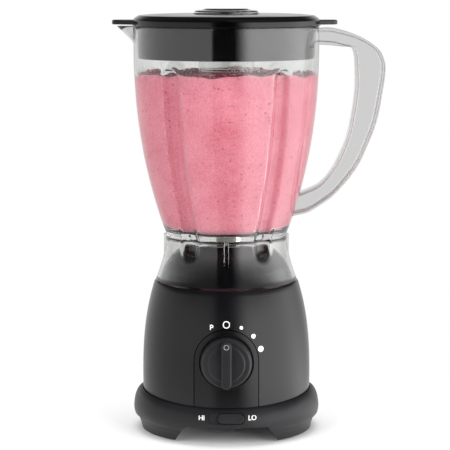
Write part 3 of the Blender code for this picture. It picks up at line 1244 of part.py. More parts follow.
def stand_on_origin(root):
    """Moves the whole object so that the origin is under the middle of its bounding box."""
    bpy.context.view_layer.update()
    graph = bpy.context.evaluated_depsgraph_get()
    corners = []
    for obj in bpy.data.objects:
        if obj.type == "MESH" and not obj.hide_render:
            evaluated = obj.evaluated_get(graph)
            corners += [evaluated.matrix_world @ Vector(corner) for corner in evaluated.bound_box]
    middle_x = (min(c.x for c in corners) + max(c.x for c in corners)) / 2
    middle_y = (min(c.y for c in corners) + max(c.y for c in corners)) / 2
    root.location = (-middle_x, -middle_y, 0)
    bpy.context.view_layer.update()


def main():
    clear_scene()
    materials = make_materials()
    root = add_empty("drive_axis", (0, 0, 0))
    make_foot_ring(materials, root)
    make_housing(materials, root)
    make_inlet_grommet(materials, root)
    make_bottom_cover(materials, root)
    make_rubber_feet(materials, root)
    make_housing_screws(materials, root)
    make_control_panel(materials, root)
    make_knob(materials, root)
    make_range_switch(materials, root)
    make_stator(materials, root)
    make_motor_frame(materials, root)
    make_brushes(materials, root)
    make_rotor(materials, root)
    jar_group = add_empty("jar_group", (0, 0, 0), root)
    make_jar(materials, jar_group)
    make_cutter(materials, jar_group)
    lid_group = add_empty("lid_group", (0, 0, 0), jar_group)
    make_lid(materials, lid_group)
    make_filler_cap(materials, lid_group)
    stand_on_origin(root)


if __name__ == "__main__":
    main()
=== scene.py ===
"""Countertop blender: finished surfaces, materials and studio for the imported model.

Everything is in metres, +Z up, with the front towards -Y. Profiles are drawn round the drive axis
and moved onto it when their mesh is made, so that every finished object sits at the origin.
"""

import logging
import math
from collections.abc import Callable, Sequence
from dataclasses import dataclass, field
from enum import Enum

import bmesh
import bpy
from mathutils import Matrix, Vector

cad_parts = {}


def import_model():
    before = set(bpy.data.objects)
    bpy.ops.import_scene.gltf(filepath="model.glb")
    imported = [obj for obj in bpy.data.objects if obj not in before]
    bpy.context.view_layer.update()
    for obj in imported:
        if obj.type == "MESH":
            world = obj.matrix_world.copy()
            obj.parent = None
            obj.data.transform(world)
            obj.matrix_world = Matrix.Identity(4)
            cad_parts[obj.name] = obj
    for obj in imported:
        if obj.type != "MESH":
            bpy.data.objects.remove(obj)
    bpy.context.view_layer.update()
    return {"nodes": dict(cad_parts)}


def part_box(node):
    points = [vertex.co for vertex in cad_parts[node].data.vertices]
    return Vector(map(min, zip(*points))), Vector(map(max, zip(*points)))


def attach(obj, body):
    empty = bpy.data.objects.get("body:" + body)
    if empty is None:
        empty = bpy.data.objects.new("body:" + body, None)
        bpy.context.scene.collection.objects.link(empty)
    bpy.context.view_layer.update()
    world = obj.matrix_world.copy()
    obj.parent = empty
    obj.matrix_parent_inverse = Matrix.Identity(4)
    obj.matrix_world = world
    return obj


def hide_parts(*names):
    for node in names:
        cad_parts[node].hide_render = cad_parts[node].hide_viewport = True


LOG = logging.getLogger("blender")
MM = 0.001
FRONT = -90.0  # degrees, measured from +X
BODY_COLUMNS = 256  # facets round a moulding
MERGE = 1e-6  # vertices closer than this are one
HOLD = 0.5 * MM  # a rounded corner's shading ends this far past it, so that long walls stay true

QUARTERS = (0, 90, 180, 270)  # degrees

Outline = Sequence[Sequence[float]]
Span = tuple[float, float]


# ---------------------------------------------------------------- colours and nodes


def linear(colour: str) -> tuple[float, float, float, float]:
    """Turns an sRGB hex colour to linear light.

    Args:
        colour: The colour as "#RRGGBB".

    Returns:
        Linear red, green, blue and an alpha of 1.
    """
    shares = [int(colour[i : i + 2], 16) / 255 for i in (1, 3, 5)]
    red, green, blue = (c / 12.92 if c <= 0.04045 else ((c + 0.055) / 1.055) ** 2.4 for c in shares)
    return red, green, blue, 1.0


def add_node(
    tree: bpy.types.NodeTree, kind: str, settings: dict | None = None, links: dict | None = None
) -> bpy.types.Node:
    """Adds a node, with its settings and its links.

    Args:
        tree: The tree that gets the node.
        kind: The node's type name.
        settings: Values by property name, or by input name or number.
        links: For an input's name or number, the socket or node that feeds it.

    Returns:
        The new node.
    """
    node = tree.nodes.new(kind)
    for key, value in (settings or {}).items():
        if isinstance(key, str) and hasattr(node, key):
            setattr(node, key, value)
        else:
            node.inputs[key].default_value = value
    for key, source in (links or {}).items():
        socket = source.outputs[0] if isinstance(source, bpy.types.Node) else source
        tree.links.new(socket, node.inputs[key])
    return node


def math_node(tree: bpy.types.NodeTree, operation: str, one: object, other: object = 0.5) -> bpy.types.Node:
    """Adds arithmetic on one or two values.

    Args:
        tree: The tree that gets the node.
        operation: The node's name for what it does.
        one: A number, socket or node.
        other: A second one. It is ignored where the operation takes only one.

    Returns:
        The new node.
    """
    pair = {0: one, 1: other}
    numbers = {key: value for key, value in pair.items() if isinstance(value, (int, float))}
    sockets = {key: value for key, value in pair.items() if key not in numbers}
    return add_node(tree, "ShaderNodeMath", {"operation": operation, **numbers}, sockets)


def ramp(
    tree: bpy.types.NodeTree, value: object, source: Span, result: Span = (0.0, 1.0), smooth: bool = False
) -> bpy.types.Node:
    """Adds a node that carries one range of values to another, held at both ends.

    Args:
        tree: The tree that gets the node.
        value: The socket or node that is carried over.
        source: The range that it comes from.
        result: The range that it goes to.
        smooth: Whether the ends are eased.

    Returns:
        The new node.
    """
    limits = {"From Min": source[0], "From Max": source[1], "To Min": result[0], "To Max": result[1]}
    if smooth:
        limits["interpolation_type"] = "SMOOTHSTEP"
    return add_node(tree, "ShaderNodeMapRange", limits, {"Value": value})


# ---------------------------------------------------------------- finishes


@dataclass(frozen=True)
class Finish:
    """A surface finish, made into one material that every piece of that finish shares."""

    name: str

    def material(self) -> bpy.types.Material:
        """Makes the material the first time, and hands the same one out afterwards.

        Returns:
            The finish's material.
        """
        made = bpy.data.materials.get(self.name)
        if made is None:
            made = bpy.data.materials.new(self.name)
            made.use_nodes = True
            made.node_tree.nodes.clear()
            place = add_node(made.node_tree, "ShaderNodeTexCoord").outputs["Object"]
            shader = self.surface(made.node_tree, place)
            add_node(made.node_tree, "ShaderNodeOutputMaterial", links={"Surface": shader})
        return made

    def surface(self, tree: bpy.types.NodeTree, place: bpy.types.NodeSocket) -> bpy.types.Node:
        """Builds the shader. Each finish has its own.

        Args:
            tree: The material's tree.
            place: Object coordinates.

        Returns:
            The node whose first output is the surface.
        """
        raise NotImplementedError

    def cloud(
        self, tree: bpy.types.NodeTree, place: bpy.types.NodeSocket, size: float, detail: float = 3.0
    ) -> bpy.types.Node:
        """A soft random pattern.

        Args:
            tree: The material's tree.
            place: Coordinates in metres.
            size: Width of one patch.
            detail: How many finer layers it has.

        Returns:
            The noise node, whose first output runs from 0 to 1.
        """
        return add_node(tree, "ShaderNodeTexNoise", {"Scale": 1 / size, "Detail": detail}, {"Vector": place})

    def between(self, tree: bpy.types.NodeTree, share: object, low: float, high: float) -> bpy.types.Node:
        """Spreads a pattern between two numbers.

        Args:
            tree: The material's tree.
            share: The pattern, as a node or socket.
            low: The value at the pattern's lower end.
            high: The value at its upper end.

        Returns:
            The node that gives the value.
        """
        return ramp(tree, share, (0.3, 0.7), (low, high))

    def tinted(self, tree: bpy.types.NodeTree, share: object, one: str, other: str) -> bpy.types.NodeSocket:
        """Mixes two colours by a pattern.

        Args:
            tree: The material's tree.
            share: The pattern, as a node or socket.
            one: The colour at the pattern's lower end.
            other: The colour at its upper end.

        Returns:
            The mixed colour's socket.
        """
        spread = self.between(tree, share, 0.0, 1.0)
        colours = {"data_type": "RGBA", 6: linear(one), 7: linear(other)}
        return add_node(tree, "ShaderNodeMix", colours, {"Factor": spread}).outputs[2]

    def relief(
        self, tree: bpy.types.NodeTree, height: object, strength: float, depth: float
    ) -> bpy.types.Node:
        """A fine relief in the surface.

        Args:
            tree: The material's tree.
            height: The pattern, as a node or socket.
            strength: How much of it shows.
            depth: Its depth.

        Returns:
            The node that gives the normal.
        """
        return add_node(tree, "ShaderNodeBump", {"Strength": strength, "Distance": depth}, {"Height": height})

    def solid(
        self, tree: bpy.types.NodeTree, settings: dict, colour: object, roughness: object, relief: object
    ) -> bpy.types.Node:
        """The shader of an opaque surface.

        Args:
            tree: The material's tree.
            settings: Constants by input name.
            colour: The node or socket of its colour.
            roughness: The node or socket of its roughness.
            relief: The node or socket of its normal.

        Returns:
            The shader.
        """
        links = {"Base Color": colour, "Roughness": roughness, "Normal": relief}
        return add_node(tree, "ShaderNodeBsdfPrincipled", settings, links)


@dataclass(frozen=True)
class Moulded(Finish):
    """Opaque thermoplastic or rubber, as it leaves a mould with a spark-eroded surface."""

    colour: str
    rubbed: str  # where hands and cloths have polished it
    roughness: tuple[float, float] = (0.3, 0.42)
    ior: float = 1.53
    grain: float = 0.9 * MM
    grain_depth: float = 0.03 * MM
    patch: float = 28.0 * MM
    polished_above: float | None = None  # height from which the mould is polished to a higher gloss

    def surface(self, tree: bpy.types.NodeTree, place: bpy.types.NodeSocket) -> bpy.types.Node:
        """Patchy polish over a fine even grain.

        Args:
            tree: The material's tree.
            place: Object coordinates.

        Returns:
            The node whose first output is the surface.
        """
        patches = self.cloud(tree, place, self.patch)
        grain = self.cloud(tree, place, self.grain, 1.0)
        roughness = self.between(tree, patches, *self.roughness)
        if self.polished_above is not None:
            height = add_node(tree, "ShaderNodeSeparateXYZ", links={0: place}).outputs["Z"]
            edge = (self.polished_above, self.polished_above + 1 * MM)
            roughness = math_node(tree, "MULTIPLY", roughness, ramp(tree, height, edge, (1.0, 0.4)))
        colour = self.tinted(tree, patches, self.colour, self.rubbed)
        relief = self.relief(tree, grain, 0.6, self.grain_depth)
        return self.solid(tree, {"IOR": self.ior}, colour, roughness, relief)


@dataclass(frozen=True)
class ClearMoulded(Finish):
    """Clear styrene plastic with the faint waves of a large injection moulding."""

    tint: str
    ior: float = 1.57
    roughness: tuple[float, float] = (0.015, 0.06)
    wave: float = 34.0 * MM
    wave_depth: float = 0.12 * MM

    def surface(self, tree: bpy.types.NodeTree, place: bpy.types.NodeSocket) -> bpy.types.Node:
        """Clear body with flow waves. Lamps reach what is inside it.

        Args:
            tree: The material's tree.
            place: Object coordinates.

        Returns:
            The node whose first output is the surface.
        """
        waves = self.cloud(tree, place, self.wave, 1.0)
        scuffs = self.cloud(tree, place, self.wave / 5, 4.0)
        relief = self.relief(tree, waves, 0.5, self.wave_depth)
        body = add_node(
            tree,
            "ShaderNodeBsdfPrincipled",
            {"Base Color": linear(self.tint), "IOR": self.ior, "Transmission Weight": 1.0},
            {"Roughness": self.between(tree, scuffs, *self.roughness), "Normal": relief},
        )
        open_air = add_node(tree, "ShaderNodeBsdfTransparent", {"Color": linear(self.tint)})
        rays = add_node(tree, "ShaderNodeLightPath").outputs["Is Shadow Ray"]
        return add_node(tree, "ShaderNodeMixShader", links={0: rays, 1: body, 2: open_air})


class Grain(Enum):
    """Which way a metal's tool marks run."""

    EVEN = (1.0, 1.0, 1.0)
    ALONG_X = (0.06, 1.0, 1.0)
    ROUND_Z = (0.12, 0.12, 1.0)


@dataclass(frozen=True)
class Metal(Finish):
    """Bare metal with tool marks."""

    colour: str
    stain: str
    roughness: tuple[float, float] = (0.22, 0.36)
    marks: float = 0.7 * MM
    marks_depth: float = 0.02 * MM
    run: Grain = Grain.EVEN

    def surface(self, tree: bpy.types.NodeTree, place: bpy.types.NodeSocket) -> bpy.types.Node:
        """Drawn-out tool marks, with a slight stain that changes over a few millimetres.

        Args:
            tree: The material's tree.
            place: Object coordinates.

        Returns:
            The node whose first output is the surface.
        """
        along = add_node(tree, "ShaderNodeMapping", {"Scale": self.run.value}, {"Vector": place})
        marks = self.cloud(tree, along.outputs[0], self.marks, 2.0)
        stains = self.cloud(tree, place, 9.0 * MM)
        colour = self.tinted(tree, stains, self.colour, self.stain)
        roughness = self.between(tree, marks, *self.roughness)
        relief = self.relief(tree, marks, 0.5, self.marks_depth)
        return self.solid(tree, {"Metallic": 1.0}, colour, roughness, relief)


@dataclass(frozen=True)
class Layered(Finish):
    """Metal in layers or turns: stacked laminations, or enamelled wire wound side by side."""

    colour: str
    groove: str
    pitch: float
    direction: str = "Z"
    metallic: float = 1.0
    depth: float = 0.12 * MM
    roughness: tuple[float, float] = (0.3, 0.45)

    def surface(self, tree: bpy.types.NodeTree, place: bpy.types.NodeSocket) -> bpy.types.Node:
        """Fine even bands, one for each layer or turn.

        Args:
            tree: The material's tree.
            place: Object coordinates.

        Returns:
            The node whose first output is the surface.
        """
        bands = add_node(
            tree,
            "ShaderNodeTexWave",
            {"bands_direction": self.direction, "Scale": 0.314 / self.pitch, "Distortion": 0.4},
            {"Vector": place},
        ).outputs["Fac"]
        colour = self.tinted(tree, bands, self.groove, self.colour)
        roughness = self.between(tree, self.cloud(tree, place, 6.0 * MM), *self.roughness)
        relief = self.relief(tree, bands, 0.8, self.depth)
        return self.solid(tree, {"Metallic": self.metallic}, colour, roughness, relief)


@dataclass(frozen=True)
class FruitDrink(Finish):
    """Blended berries and milk: an opaque wet liquid with bits of skin in it."""

    colour: str
    streak: str
    skin: str  # colour of the berry skin bits
    bit: float = 3.2 * MM
    roughness: tuple[float, float] = (0.25, 0.5)

    def surface(self, tree: bpy.types.NodeTree, place: bpy.types.NodeSocket) -> bpy.types.Node:
        """Broad streaks of thicker and thinner drink, dotted with dark bits.

        Args:
            tree: The material's tree.
            place: Object coordinates.

        Returns:
            The node whose first output is the surface.
        """
        streaks = self.cloud(tree, place, 26.0 * MM, 5.0)
        bubbles = self.cloud(tree, place, 1.5 * MM, 1.0)
        mean = math_node(tree, "MULTIPLY", math_node(tree, "ADD", streaks, bubbles), 0.5)
        body = self.tinted(tree, mean, self.colour, self.streak)
        bits = add_node(tree, "ShaderNodeTexVoronoi", {"Scale": 1 / self.bit}, {"Vector": place})
        near = ramp(tree, bits.outputs["Distance"], (0.1, 0.42), (0.8, 0.0))
        which = add_node(tree, "ShaderNodeSeparateColor", links={"Color": bits.outputs["Color"]})
        chosen = ramp(tree, which.outputs["Red"], (0.45, 0.95))
        thick = self.between(tree, self.cloud(tree, place, 17.0 * MM, 2.0), -0.35, 1.35)
        strength = math_node(tree, "MULTIPLY", chosen, thick)
        strength.use_clamp = True
        share = math_node(tree, "MULTIPLY", near, strength)
        dots = {"data_type": "RGBA", 7: linear(self.skin)}
        dotted = add_node(tree, "ShaderNodeMix", dots, {"Factor": share, 6: body}).outputs[2]
        roughness = self.between(tree, streaks, *self.roughness)
        relief = self.relief(tree, self.cloud(tree, place, 2.4 * MM, 2.0), 0.5, 0.25 * MM)
        return self.solid(tree, {"IOR": 1.35}, dotted, roughness, relief)


# Injection-moulded SAN: water clear with a faint warm grey in thick sections, and long flow waves.
CLEAR_SAN = ClearMoulded("moulded_san_clear", "#F4F5F4")
# The level marks are raised in the jar's own plastic, and look frosted where they catch the light.
FROSTED_SAN = ClearMoulded("moulded_san_frosted", "#F2F4F4", 1.57, (0.25, 0.4), 6.0 * MM, 0.05 * MM)
# Spark-eroded ABS: satin near-black that shows each lamp as a soft broad bar.
SATIN_ABS = Moulded("spark_eroded_abs_black", "#0A090B", "#0F0E10", (0.2, 0.27), 1.45)
# The same ABS with the dome polished in the mould, so that lamps show sharper above the shoulder.
HOUSING_ABS = Moulded(
    "part_polished_abs_black", "#0A090B", "#0F0E10", (0.2, 0.27), 1.5, polished_above=132.6 * MM
)
# The foot ring is rougher than the housing, and its colour is painted a lighter black as painted light, where
# its flare faces up to the lamps.
RING_ABS_PAINTED_LIGHT = Moulded("fine_textured_abs_black", "#171618", "#1E1C1F", (0.34, 0.44), 1.43)
# Polished-mould polypropylene: the lid is glossy, with wipe marks that change the gloss.
LID_PP = Moulded(
    "polished_polypropylene_black", "#020202", "#040404", (0.08, 0.18), 1.49, 1.6 * MM, 0.02 * MM
)
# Fine-grained ABS of the knob and slider, rubbed by fingers: an even dark grey with soft edges.
CONTROL_ABS = Moulded("fine_grained_abs_black", "#1D1C1E", "#252426", (0.38, 0.5), 1.46, 1.2 * MM, 0.02 * MM)
# Filled polyamide: matt mid-grey, for switch frames and the parts beside the motor.
GREY_PA = Moulded(
    "glass_filled_polyamide_grey", "#6E7072", "#7B7D7F", (0.45, 0.6), 1.53, 0.8 * MM, 0.05 * MM
)
# Natural acetal: off-white and slightly waxy.
WHITE_ACETAL = Moulded(
    "machined_acetal_natural", "#C9C6BC", "#D8D5CC", (0.3, 0.45), 1.48, 1.0 * MM, 0.03 * MM
)
# Press-moulded rubber: matt black with a powdery bloom.
RUBBER = Moulded("press_moulded_rubber_black", "#161616", "#232323", (0.65, 0.85), 1.52, 0.7 * MM, 0.06 * MM)
# White two-part ink, pad printed: dense and slightly chalky.
PAD_INK = Moulded(
    "pad_printed_ink_white", "#E4E4E2", "#F2F2F0", (0.45, 0.6), 1.5, 0.5 * MM, 0.01 * MM, 4.0 * MM
)
# Grey ink for the ring on the knob's grip.
GREY_INK = Moulded(
    "pad_printed_ink_grey", "#8C8C8C", "#9A9A9A", (0.4, 0.5), 1.5, 0.5 * MM, 0.01 * MM, 4.0 * MM
)
# Ground stainless steel: fine straight scratches along the blades.
GROUND_STEEL = Metal("ground_stainless_steel", "#C9C9C6", "#B5B5B3", (0.2, 0.34), run=Grain.ALONG_X)
# Turned stainless steel: marks that run round the shaft.
TURNED_STEEL = Metal("turned_stainless_steel", "#BFC0BF", "#A9A9A7", (0.18, 0.32), run=Grain.ROUND_Z)
# Zinc-plated screws: bluish with a mottled passivation.
ZINC = Metal("zinc_plated_steel", "#B9BCC2", "#9FA4AB", (0.28, 0.45))
# Sintered bronze, oil soaked and finely porous.
BRONZE = Metal("sintered_bronze", "#9A6A35", "#7D5428", (0.4, 0.55), 0.5 * MM, 0.05 * MM)
# Pressed aluminium end brackets: pale and slightly grained.
CAST_ALUMINIUM = Metal("die_cast_aluminium", "#B0B1B2", "#9A9B9C", (0.35, 0.5), 1.4 * MM, 0.05 * MM)
# Electrical steel sheet, stacked. The sheets are drawn 1 mm thick, twice the real thing, to show.
LAMINATED = Layered("stacked_electrical_steel", "#75787C", "#4A4D52", 1.0 * MM)
# Enamelled copper wire, varnished: warm and glossy, with a groove between turns.
WOUND_COPPER = Layered("enamelled_copper_winding", "#A4532A", "#5E2A12", 0.9 * MM, "DIAGONAL", 0.8)
# Hard-drawn copper of the commutator bars.
COPPER = Metal("turned_copper", "#B5653C", "#94502F", (0.2, 0.35), run=Grain.ROUND_Z)
# Electrographite: matt with a dull metallic glint.
CARBON = Moulded("pressed_electrographite", "#1B1B1D", "#2A2A2D", (0.45, 0.65), 1.9, 0.4 * MM, 0.05 * MM)
# The blended drink, and its foam. The foam's colours are painted darker than the drink's, as painted shade
# where the black lid shades the top.
DRINK = FruitDrink("berry_milk_drink", "#D8788A", "#EFA6B3", "#9C2A44")
FOAM_PAINTED_SHADE = FruitDrink("berry_drink_foam", "#B0596A", "#8A4450", "#5A1424", 2.2 * MM, (0.15, 0.35))


# ---------------------------------------------------------------- shapes


def swell(share: float) -> float:
    """A smooth hump: 1 at share 0, and 0 from share 1 on."""
    return 0.5 + 0.5 * math.cos(math.pi * min(1.0, share))


def degrees_apart(one: float, other: float) -> float:
    """The angle between two directions, 0 to 180."""
    return abs((one - other + 180.0) % 360.0 - 180.0)


def around(radius: float, angle: float) -> tuple[float, float]:
    """The (x, y) at this radius and angle in degrees."""
    return radius * math.cos(math.radians(angle)), radius * math.sin(math.radians(angle))


def steps(start: float, end: float, widest: float) -> list[float]:
    """Even values from start to end, both included.

    Args:
        start: The first value.
        end: The last value.
        widest: The widest step allowed.

    Returns:
        The values, in order.
    """
    count = max(1, math.ceil(abs(end - start) / widest))
    return [start + (end - start) * i / count for i in range(count + 1)]


def stadium(length: float, height: float, segments: int = 10) -> list[tuple[float, float]]:
    """A bar with round ends, drawn anticlockwise.

    Args:
        length: Overall length along X.
        height: Overall height along Y.
        segments: Steps in each round end.

    Returns:
        The outline's points.
    """
    radius, middle = height / 2, (length - height) / 2
    points = []
    for side, first in ((1, -90.0), (-1, 90.0)):
        for i in range(segments + 1):
            x, y = around(radius, first + 180.0 * i / segments)
            points.append((side * middle + x, y))
    return points


def fillet(points: Outline, segments: int = 4, closed: bool = True) -> list[tuple[float, float]]:
    """Rounds the corners of an outline.

    Args:
        points: (x, y) for a sharp corner or (x, y, radius) for a round one.
        segments: Steps in each round corner.
        closed: Whether the last point joins the first.

    Returns:
        The outline with its round corners drawn out.
    """
    found: list[tuple[float, float]] = []
    for i, corner in enumerate(points):
        here = Vector(corner[:2])
        if len(corner) < 3 or (not closed and i in (0, len(points) - 1)):
            found.append((here.x, here.y))
            continue
        before = Vector(points[i - 1][:2]) - here
        after = Vector(points[(i + 1) % len(points)][:2]) - here
        turn = math.pi - before.angle(after)
        cut = min(corner[2] * math.tan(turn / 2), 0.45 * before.length, 0.45 * after.length)
        start, end = here + before.normalized() * cut, here + after.normalized() * cut
        held = here + before.normalized() * (cut + min(HOLD, 0.04 * before.length))
        found.append((held.x, held.y))
        for step in range(segments + 1):
            t = step / segments
            point = start * (1 - t) ** 2 + here * 2 * t * (1 - t) + end * t**2
            found.append((point.x, point.y))
        held = here + after.normalized() * (cut + min(HOLD, 0.04 * after.length))
        found.append((held.x, held.y))
    return found


def curve_through(points: Outline, count: int) -> list[Vector]:
    """Points along a smooth curve.

    Args:
        points: The points that it passes through.
        count: How many points to give back, ends included.

    Returns:
        Evenly spread points on the curve.
    """
    ends = [2 * Vector(points[0]) - Vector(points[1]), 2 * Vector(points[-1]) - Vector(points[-2])]
    knots = [ends[0]] + [Vector(p) for p in points] + [ends[1]]
    found = []
    for step in range(count):
        place = step * (len(points) - 1) / (count - 1)
        i = min(int(place), len(points) - 2)
        t = place - i
        a, b, c, d = knots[i : i + 4]
        found.append(
            0.5 * (2 * b + (c - a) * t + (2 * a - 5 * b + 4 * c - d) * t**2 + (3 * b - a - 3 * c + d) * t**3)
        )
    return found


def closed_mesh(name: str, verts: Sequence, faces: Sequence) -> bmesh.types.BMesh:
    """Builds a mesh, merges its doubles and turns its faces outwards.

    Args:
        name: Used while the mesh is made.
        verts: Vertex positions.
        faces: Vertex numbers of each face.

    Returns:
        The mesh.
    """
    mesh = bpy.data.meshes.new(name)
    mesh.from_pydata([tuple(v) for v in verts], [], faces)
    bm = bmesh.new()
    bm.from_mesh(mesh)
    bpy.data.meshes.remove(mesh)
    bmesh.ops.remove_doubles(bm, verts=bm.verts, dist=MERGE)
    bmesh.ops.recalc_face_normals(bm, faces=bm.faces)
    return bm


def turned(section: Outline | Callable[[float], Outline], count: int = BODY_COLUMNS) -> bmesh.types.BMesh:
    """Carries a closed profile round the Z axis.

    Args:
        section: The (radius, z) profile, or a function that gives it for an angle in degrees.
        count: How many columns go round.

    Returns:
        The turned shape, with its poles closed.
    """
    verts, faces = [], []
    size = 0
    for column in range(count):
        angle = 360.0 * (column + 0.5) / count
        points = section(angle) if callable(section) else section
        size = len(points)
        verts += [(*around(point[0], angle), point[1]) for point in points]
    for column in range(count):
        near, far = column * size, (column + 1) % count * size
        for i in range(size):
            j = (i + 1) % size
            faces.append((near + i, far + i, far + j, near + j))
    return closed_mesh("turned", verts, faces)


def lofted(rings: Sequence[Sequence[Vector]]) -> bmesh.types.BMesh:
    """Joins a row of rings, and closes both ends.

    Args:
        rings: Rings with the same number of points.

    Returns:
        The closed shape.
    """
    size = len(rings[0])
    verts = [point for ring in rings for point in ring]
    faces: list[tuple[int, ...]] = [tuple(range(size))]
    faces.append(tuple(range((len(rings) - 1) * size, len(rings) * size)))
    for row in range(len(rings) - 1):
        for i in range(size):
            j = (i + 1) % size
            faces.append((row * size + i, row * size + j, (row + 1) * size + j, (row + 1) * size + i))
    return closed_mesh("lofted", verts, faces)


def prism(outline: Outline, low: float, high: float) -> bmesh.types.BMesh:
    """An outline in XY, drawn up from low to high."""
    return lofted([[Vector((x, y, z)) for x, y in outline] for z in (low, high)])


def tube(inner: float, outer: float, low: float, high: float, count: int) -> bmesh.types.BMesh:
    """A round bar or tube on the Z axis. An inner radius of 0 makes it solid."""
    return turned([(inner, low), (outer, low), (outer, high), (inner, high)], count)


def spindle(points: Outline, segments: int = 3) -> list[tuple[float, float]]:
    """A solid turned profile: rounds its corners, and closes it to the axis at both ends."""
    return [(0.0, points[0][1]), *fillet(points, segments, closed=False), (0.0, points[-1][1])]


def softened_prism(
    outline: Outline, low: float, high: float, edge: float, draft: float = 0.0
) -> bmesh.types.BMesh:
    """An upright shape whose upper edge is rounded.

    Args:
        outline: (x, y) points round the origin.
        low: Where it starts.
        high: Its top.
        edge: Radius of the upper edge.
        draft: How much each side leans in between low and high.

    Returns:
        The shape as a bmesh.
    """
    reach_x, reach_y = max(abs(x) for x, _ in outline), max(abs(y) for _, y in outline)
    rings = []
    levels = [(low, 0.0), (high - edge, draft)]
    levels += [
        (high - edge + edge * math.sin(t), draft + edge * (1 - math.cos(t)))
        for t in (0.26, 0.52, 0.79, 1.05, 1.31, math.pi / 2)
    ]
    for z, inset in levels:
        share_x, share_y = 1 - inset / reach_x, 1 - inset / reach_y
        rings.append([Vector((x * share_x, y * share_y, z)) for x, y in outline])
    return lofted(rings)


def block(low: Sequence[float], high: Sequence[float]) -> bmesh.types.BMesh:
    """A box between two corners, used as a cutter or a rib."""
    corners = [(low[0], low[1]), (high[0], low[1]), (high[0], high[1]), (low[0], high[1])]
    return prism(corners, low[2], high[2])


def moved(bm: bmesh.types.BMesh, matrix: Matrix) -> bmesh.types.BMesh:
    """Moves a bmesh by a matrix and hands it back."""
    bm.transform(matrix)
    return bm


def joined(shapes: Sequence[bmesh.types.BMesh]) -> bmesh.types.BMesh:
    """Puts several separate shapes into one bmesh.

    Args:
        shapes: The shapes. All but the first are freed.

    Returns:
        The first shape, with the others added.
    """
    whole = shapes[0]
    for shape in shapes[1:]:
        scrap = bpy.data.meshes.new("scrap")
        shape.to_mesh(scrap)
        whole.from_mesh(scrap)
        bpy.data.meshes.remove(scrap)
        shape.free()
    return whole


def in_quarters(make: Callable[[], bmesh.types.BMesh]) -> bmesh.types.BMesh:
    """Four copies of a shape round the Z axis, a quarter turn apart."""
    return joined([moved(make(), Matrix.Rotation(math.radians(turn), 4, "Z")) for turn in QUARTERS])


def linked(name: str, data: bpy.types.ID) -> bpy.types.Object:
    """Makes an object for a mesh, curve, light or camera, and links it to the scene.

    Args:
        name: The object's name.
        data: What it shows.

    Returns:
        The object.
    """
    made = bpy.data.objects.new(name, data)
    bpy.context.collection.objects.link(made)
    return made


def as_object(name: str, bm: bmesh.types.BMesh) -> bpy.types.Object:
    """Turns a bmesh into a linked object.

    Args:
        name: The object's name.
        bm: The shape. It is freed.

    Returns:
        The object.
    """
    mesh = bpy.data.meshes.new(name)
    bm.to_mesh(mesh)
    bm.free()
    return linked(name, mesh)


def evaluated(source: bpy.types.Object) -> bpy.types.Mesh:
    """A plain copy of an object's mesh with its modifiers applied."""
    graph = bpy.context.evaluated_depsgraph_get()
    return bpy.data.meshes.new_from_object(source.evaluated_get(graph), depsgraph=graph)


class How(Enum):
    """What one shape does to another."""

    ADD = "UNION"
    CUT = "DIFFERENCE"
    KEEP = "INTERSECT"


def combine(target: bpy.types.Object, tool: bmesh.types.BMesh, how: How) -> None:
    """Adds a shape to an object, cuts it away, or keeps only what lies in it.

    Args:
        target: The object that changes.
        tool: The other shape. It is freed.
        how: Which of the three.
    """
    cutter = as_object("tool", tool)
    change = target.modifiers.new("combine", "BOOLEAN")
    change.operation, change.object, change.solver = how.value, cutter, "EXACT"
    before = target.data
    after = evaluated(target)
    target.modifiers.remove(change)
    target.data = after
    bpy.data.meshes.remove(before)
    bpy.data.objects.remove(cutter)
    bm = bmesh.new()
    bm.from_mesh(after)
    bmesh.ops.remove_doubles(bm, verts=bm.verts, dist=MERGE)
    bm.to_mesh(after)
    bm.free()


def lettered(text: str, height: float, bold: float, thickness: float) -> bpy.types.Object:
    """A word as a thin solid, centred on the origin.

    Args:
        text: The word.
        height: Height of its capitals.
        bold: How far the strokes are thickened.
        thickness: How thick the solid is.

    Returns:
        The word as an object.
    """
    capital = 0.729  # share of the font size that a capital takes
    curve = bpy.data.curves.new("word", "FONT")
    curve.body, curve.size, curve.offset = text, height / capital, bold
    curve.extrude = thickness / 2
    curve.align_x, curve.align_y = "CENTER", "CENTER"
    source = linked("word", curve)
    made = linked("word", evaluated(source))
    bpy.data.objects.remove(source)
    return made


def wrapped(flat: bpy.types.Object, x: float, z: float, radius: Callable[[float], float]) -> None:
    """Lays a flat mark round the front of a turned shape.

    Args:
        flat: The mark, drawn in XY with Z as its thickness.
        x: Its place to the right of the middle.
        z: Its height.
        radius: The surface's radius at a height.
    """
    ink = bmesh.new()
    ink.from_mesh(flat.data)
    for way in (Vector((1, 0, 0)), Vector((0, 1, 0))):
        reach = max(abs(vertex.co.dot(way)) for vertex in ink.verts)
        for place in steps(-reach, reach, 0.5 * MM)[1:-1]:
            parts = ink.verts[:] + ink.edges[:] + ink.faces[:]
            bmesh.ops.bisect_plane(ink, geom=parts, dist=MERGE, plane_co=way * place, plane_no=way)
    ink.to_mesh(flat.data)
    ink.free()
    for vertex in flat.data.vertices:
        height = z + vertex.co.y
        surface = radius(height) + 0.03 * MM + vertex.co.z
        turn = (x + vertex.co.x) / radius(height)
        vertex.co = (surface * math.sin(turn), -surface * math.cos(turn), height)


# ---------------------------------------------------------------- rules that repeat


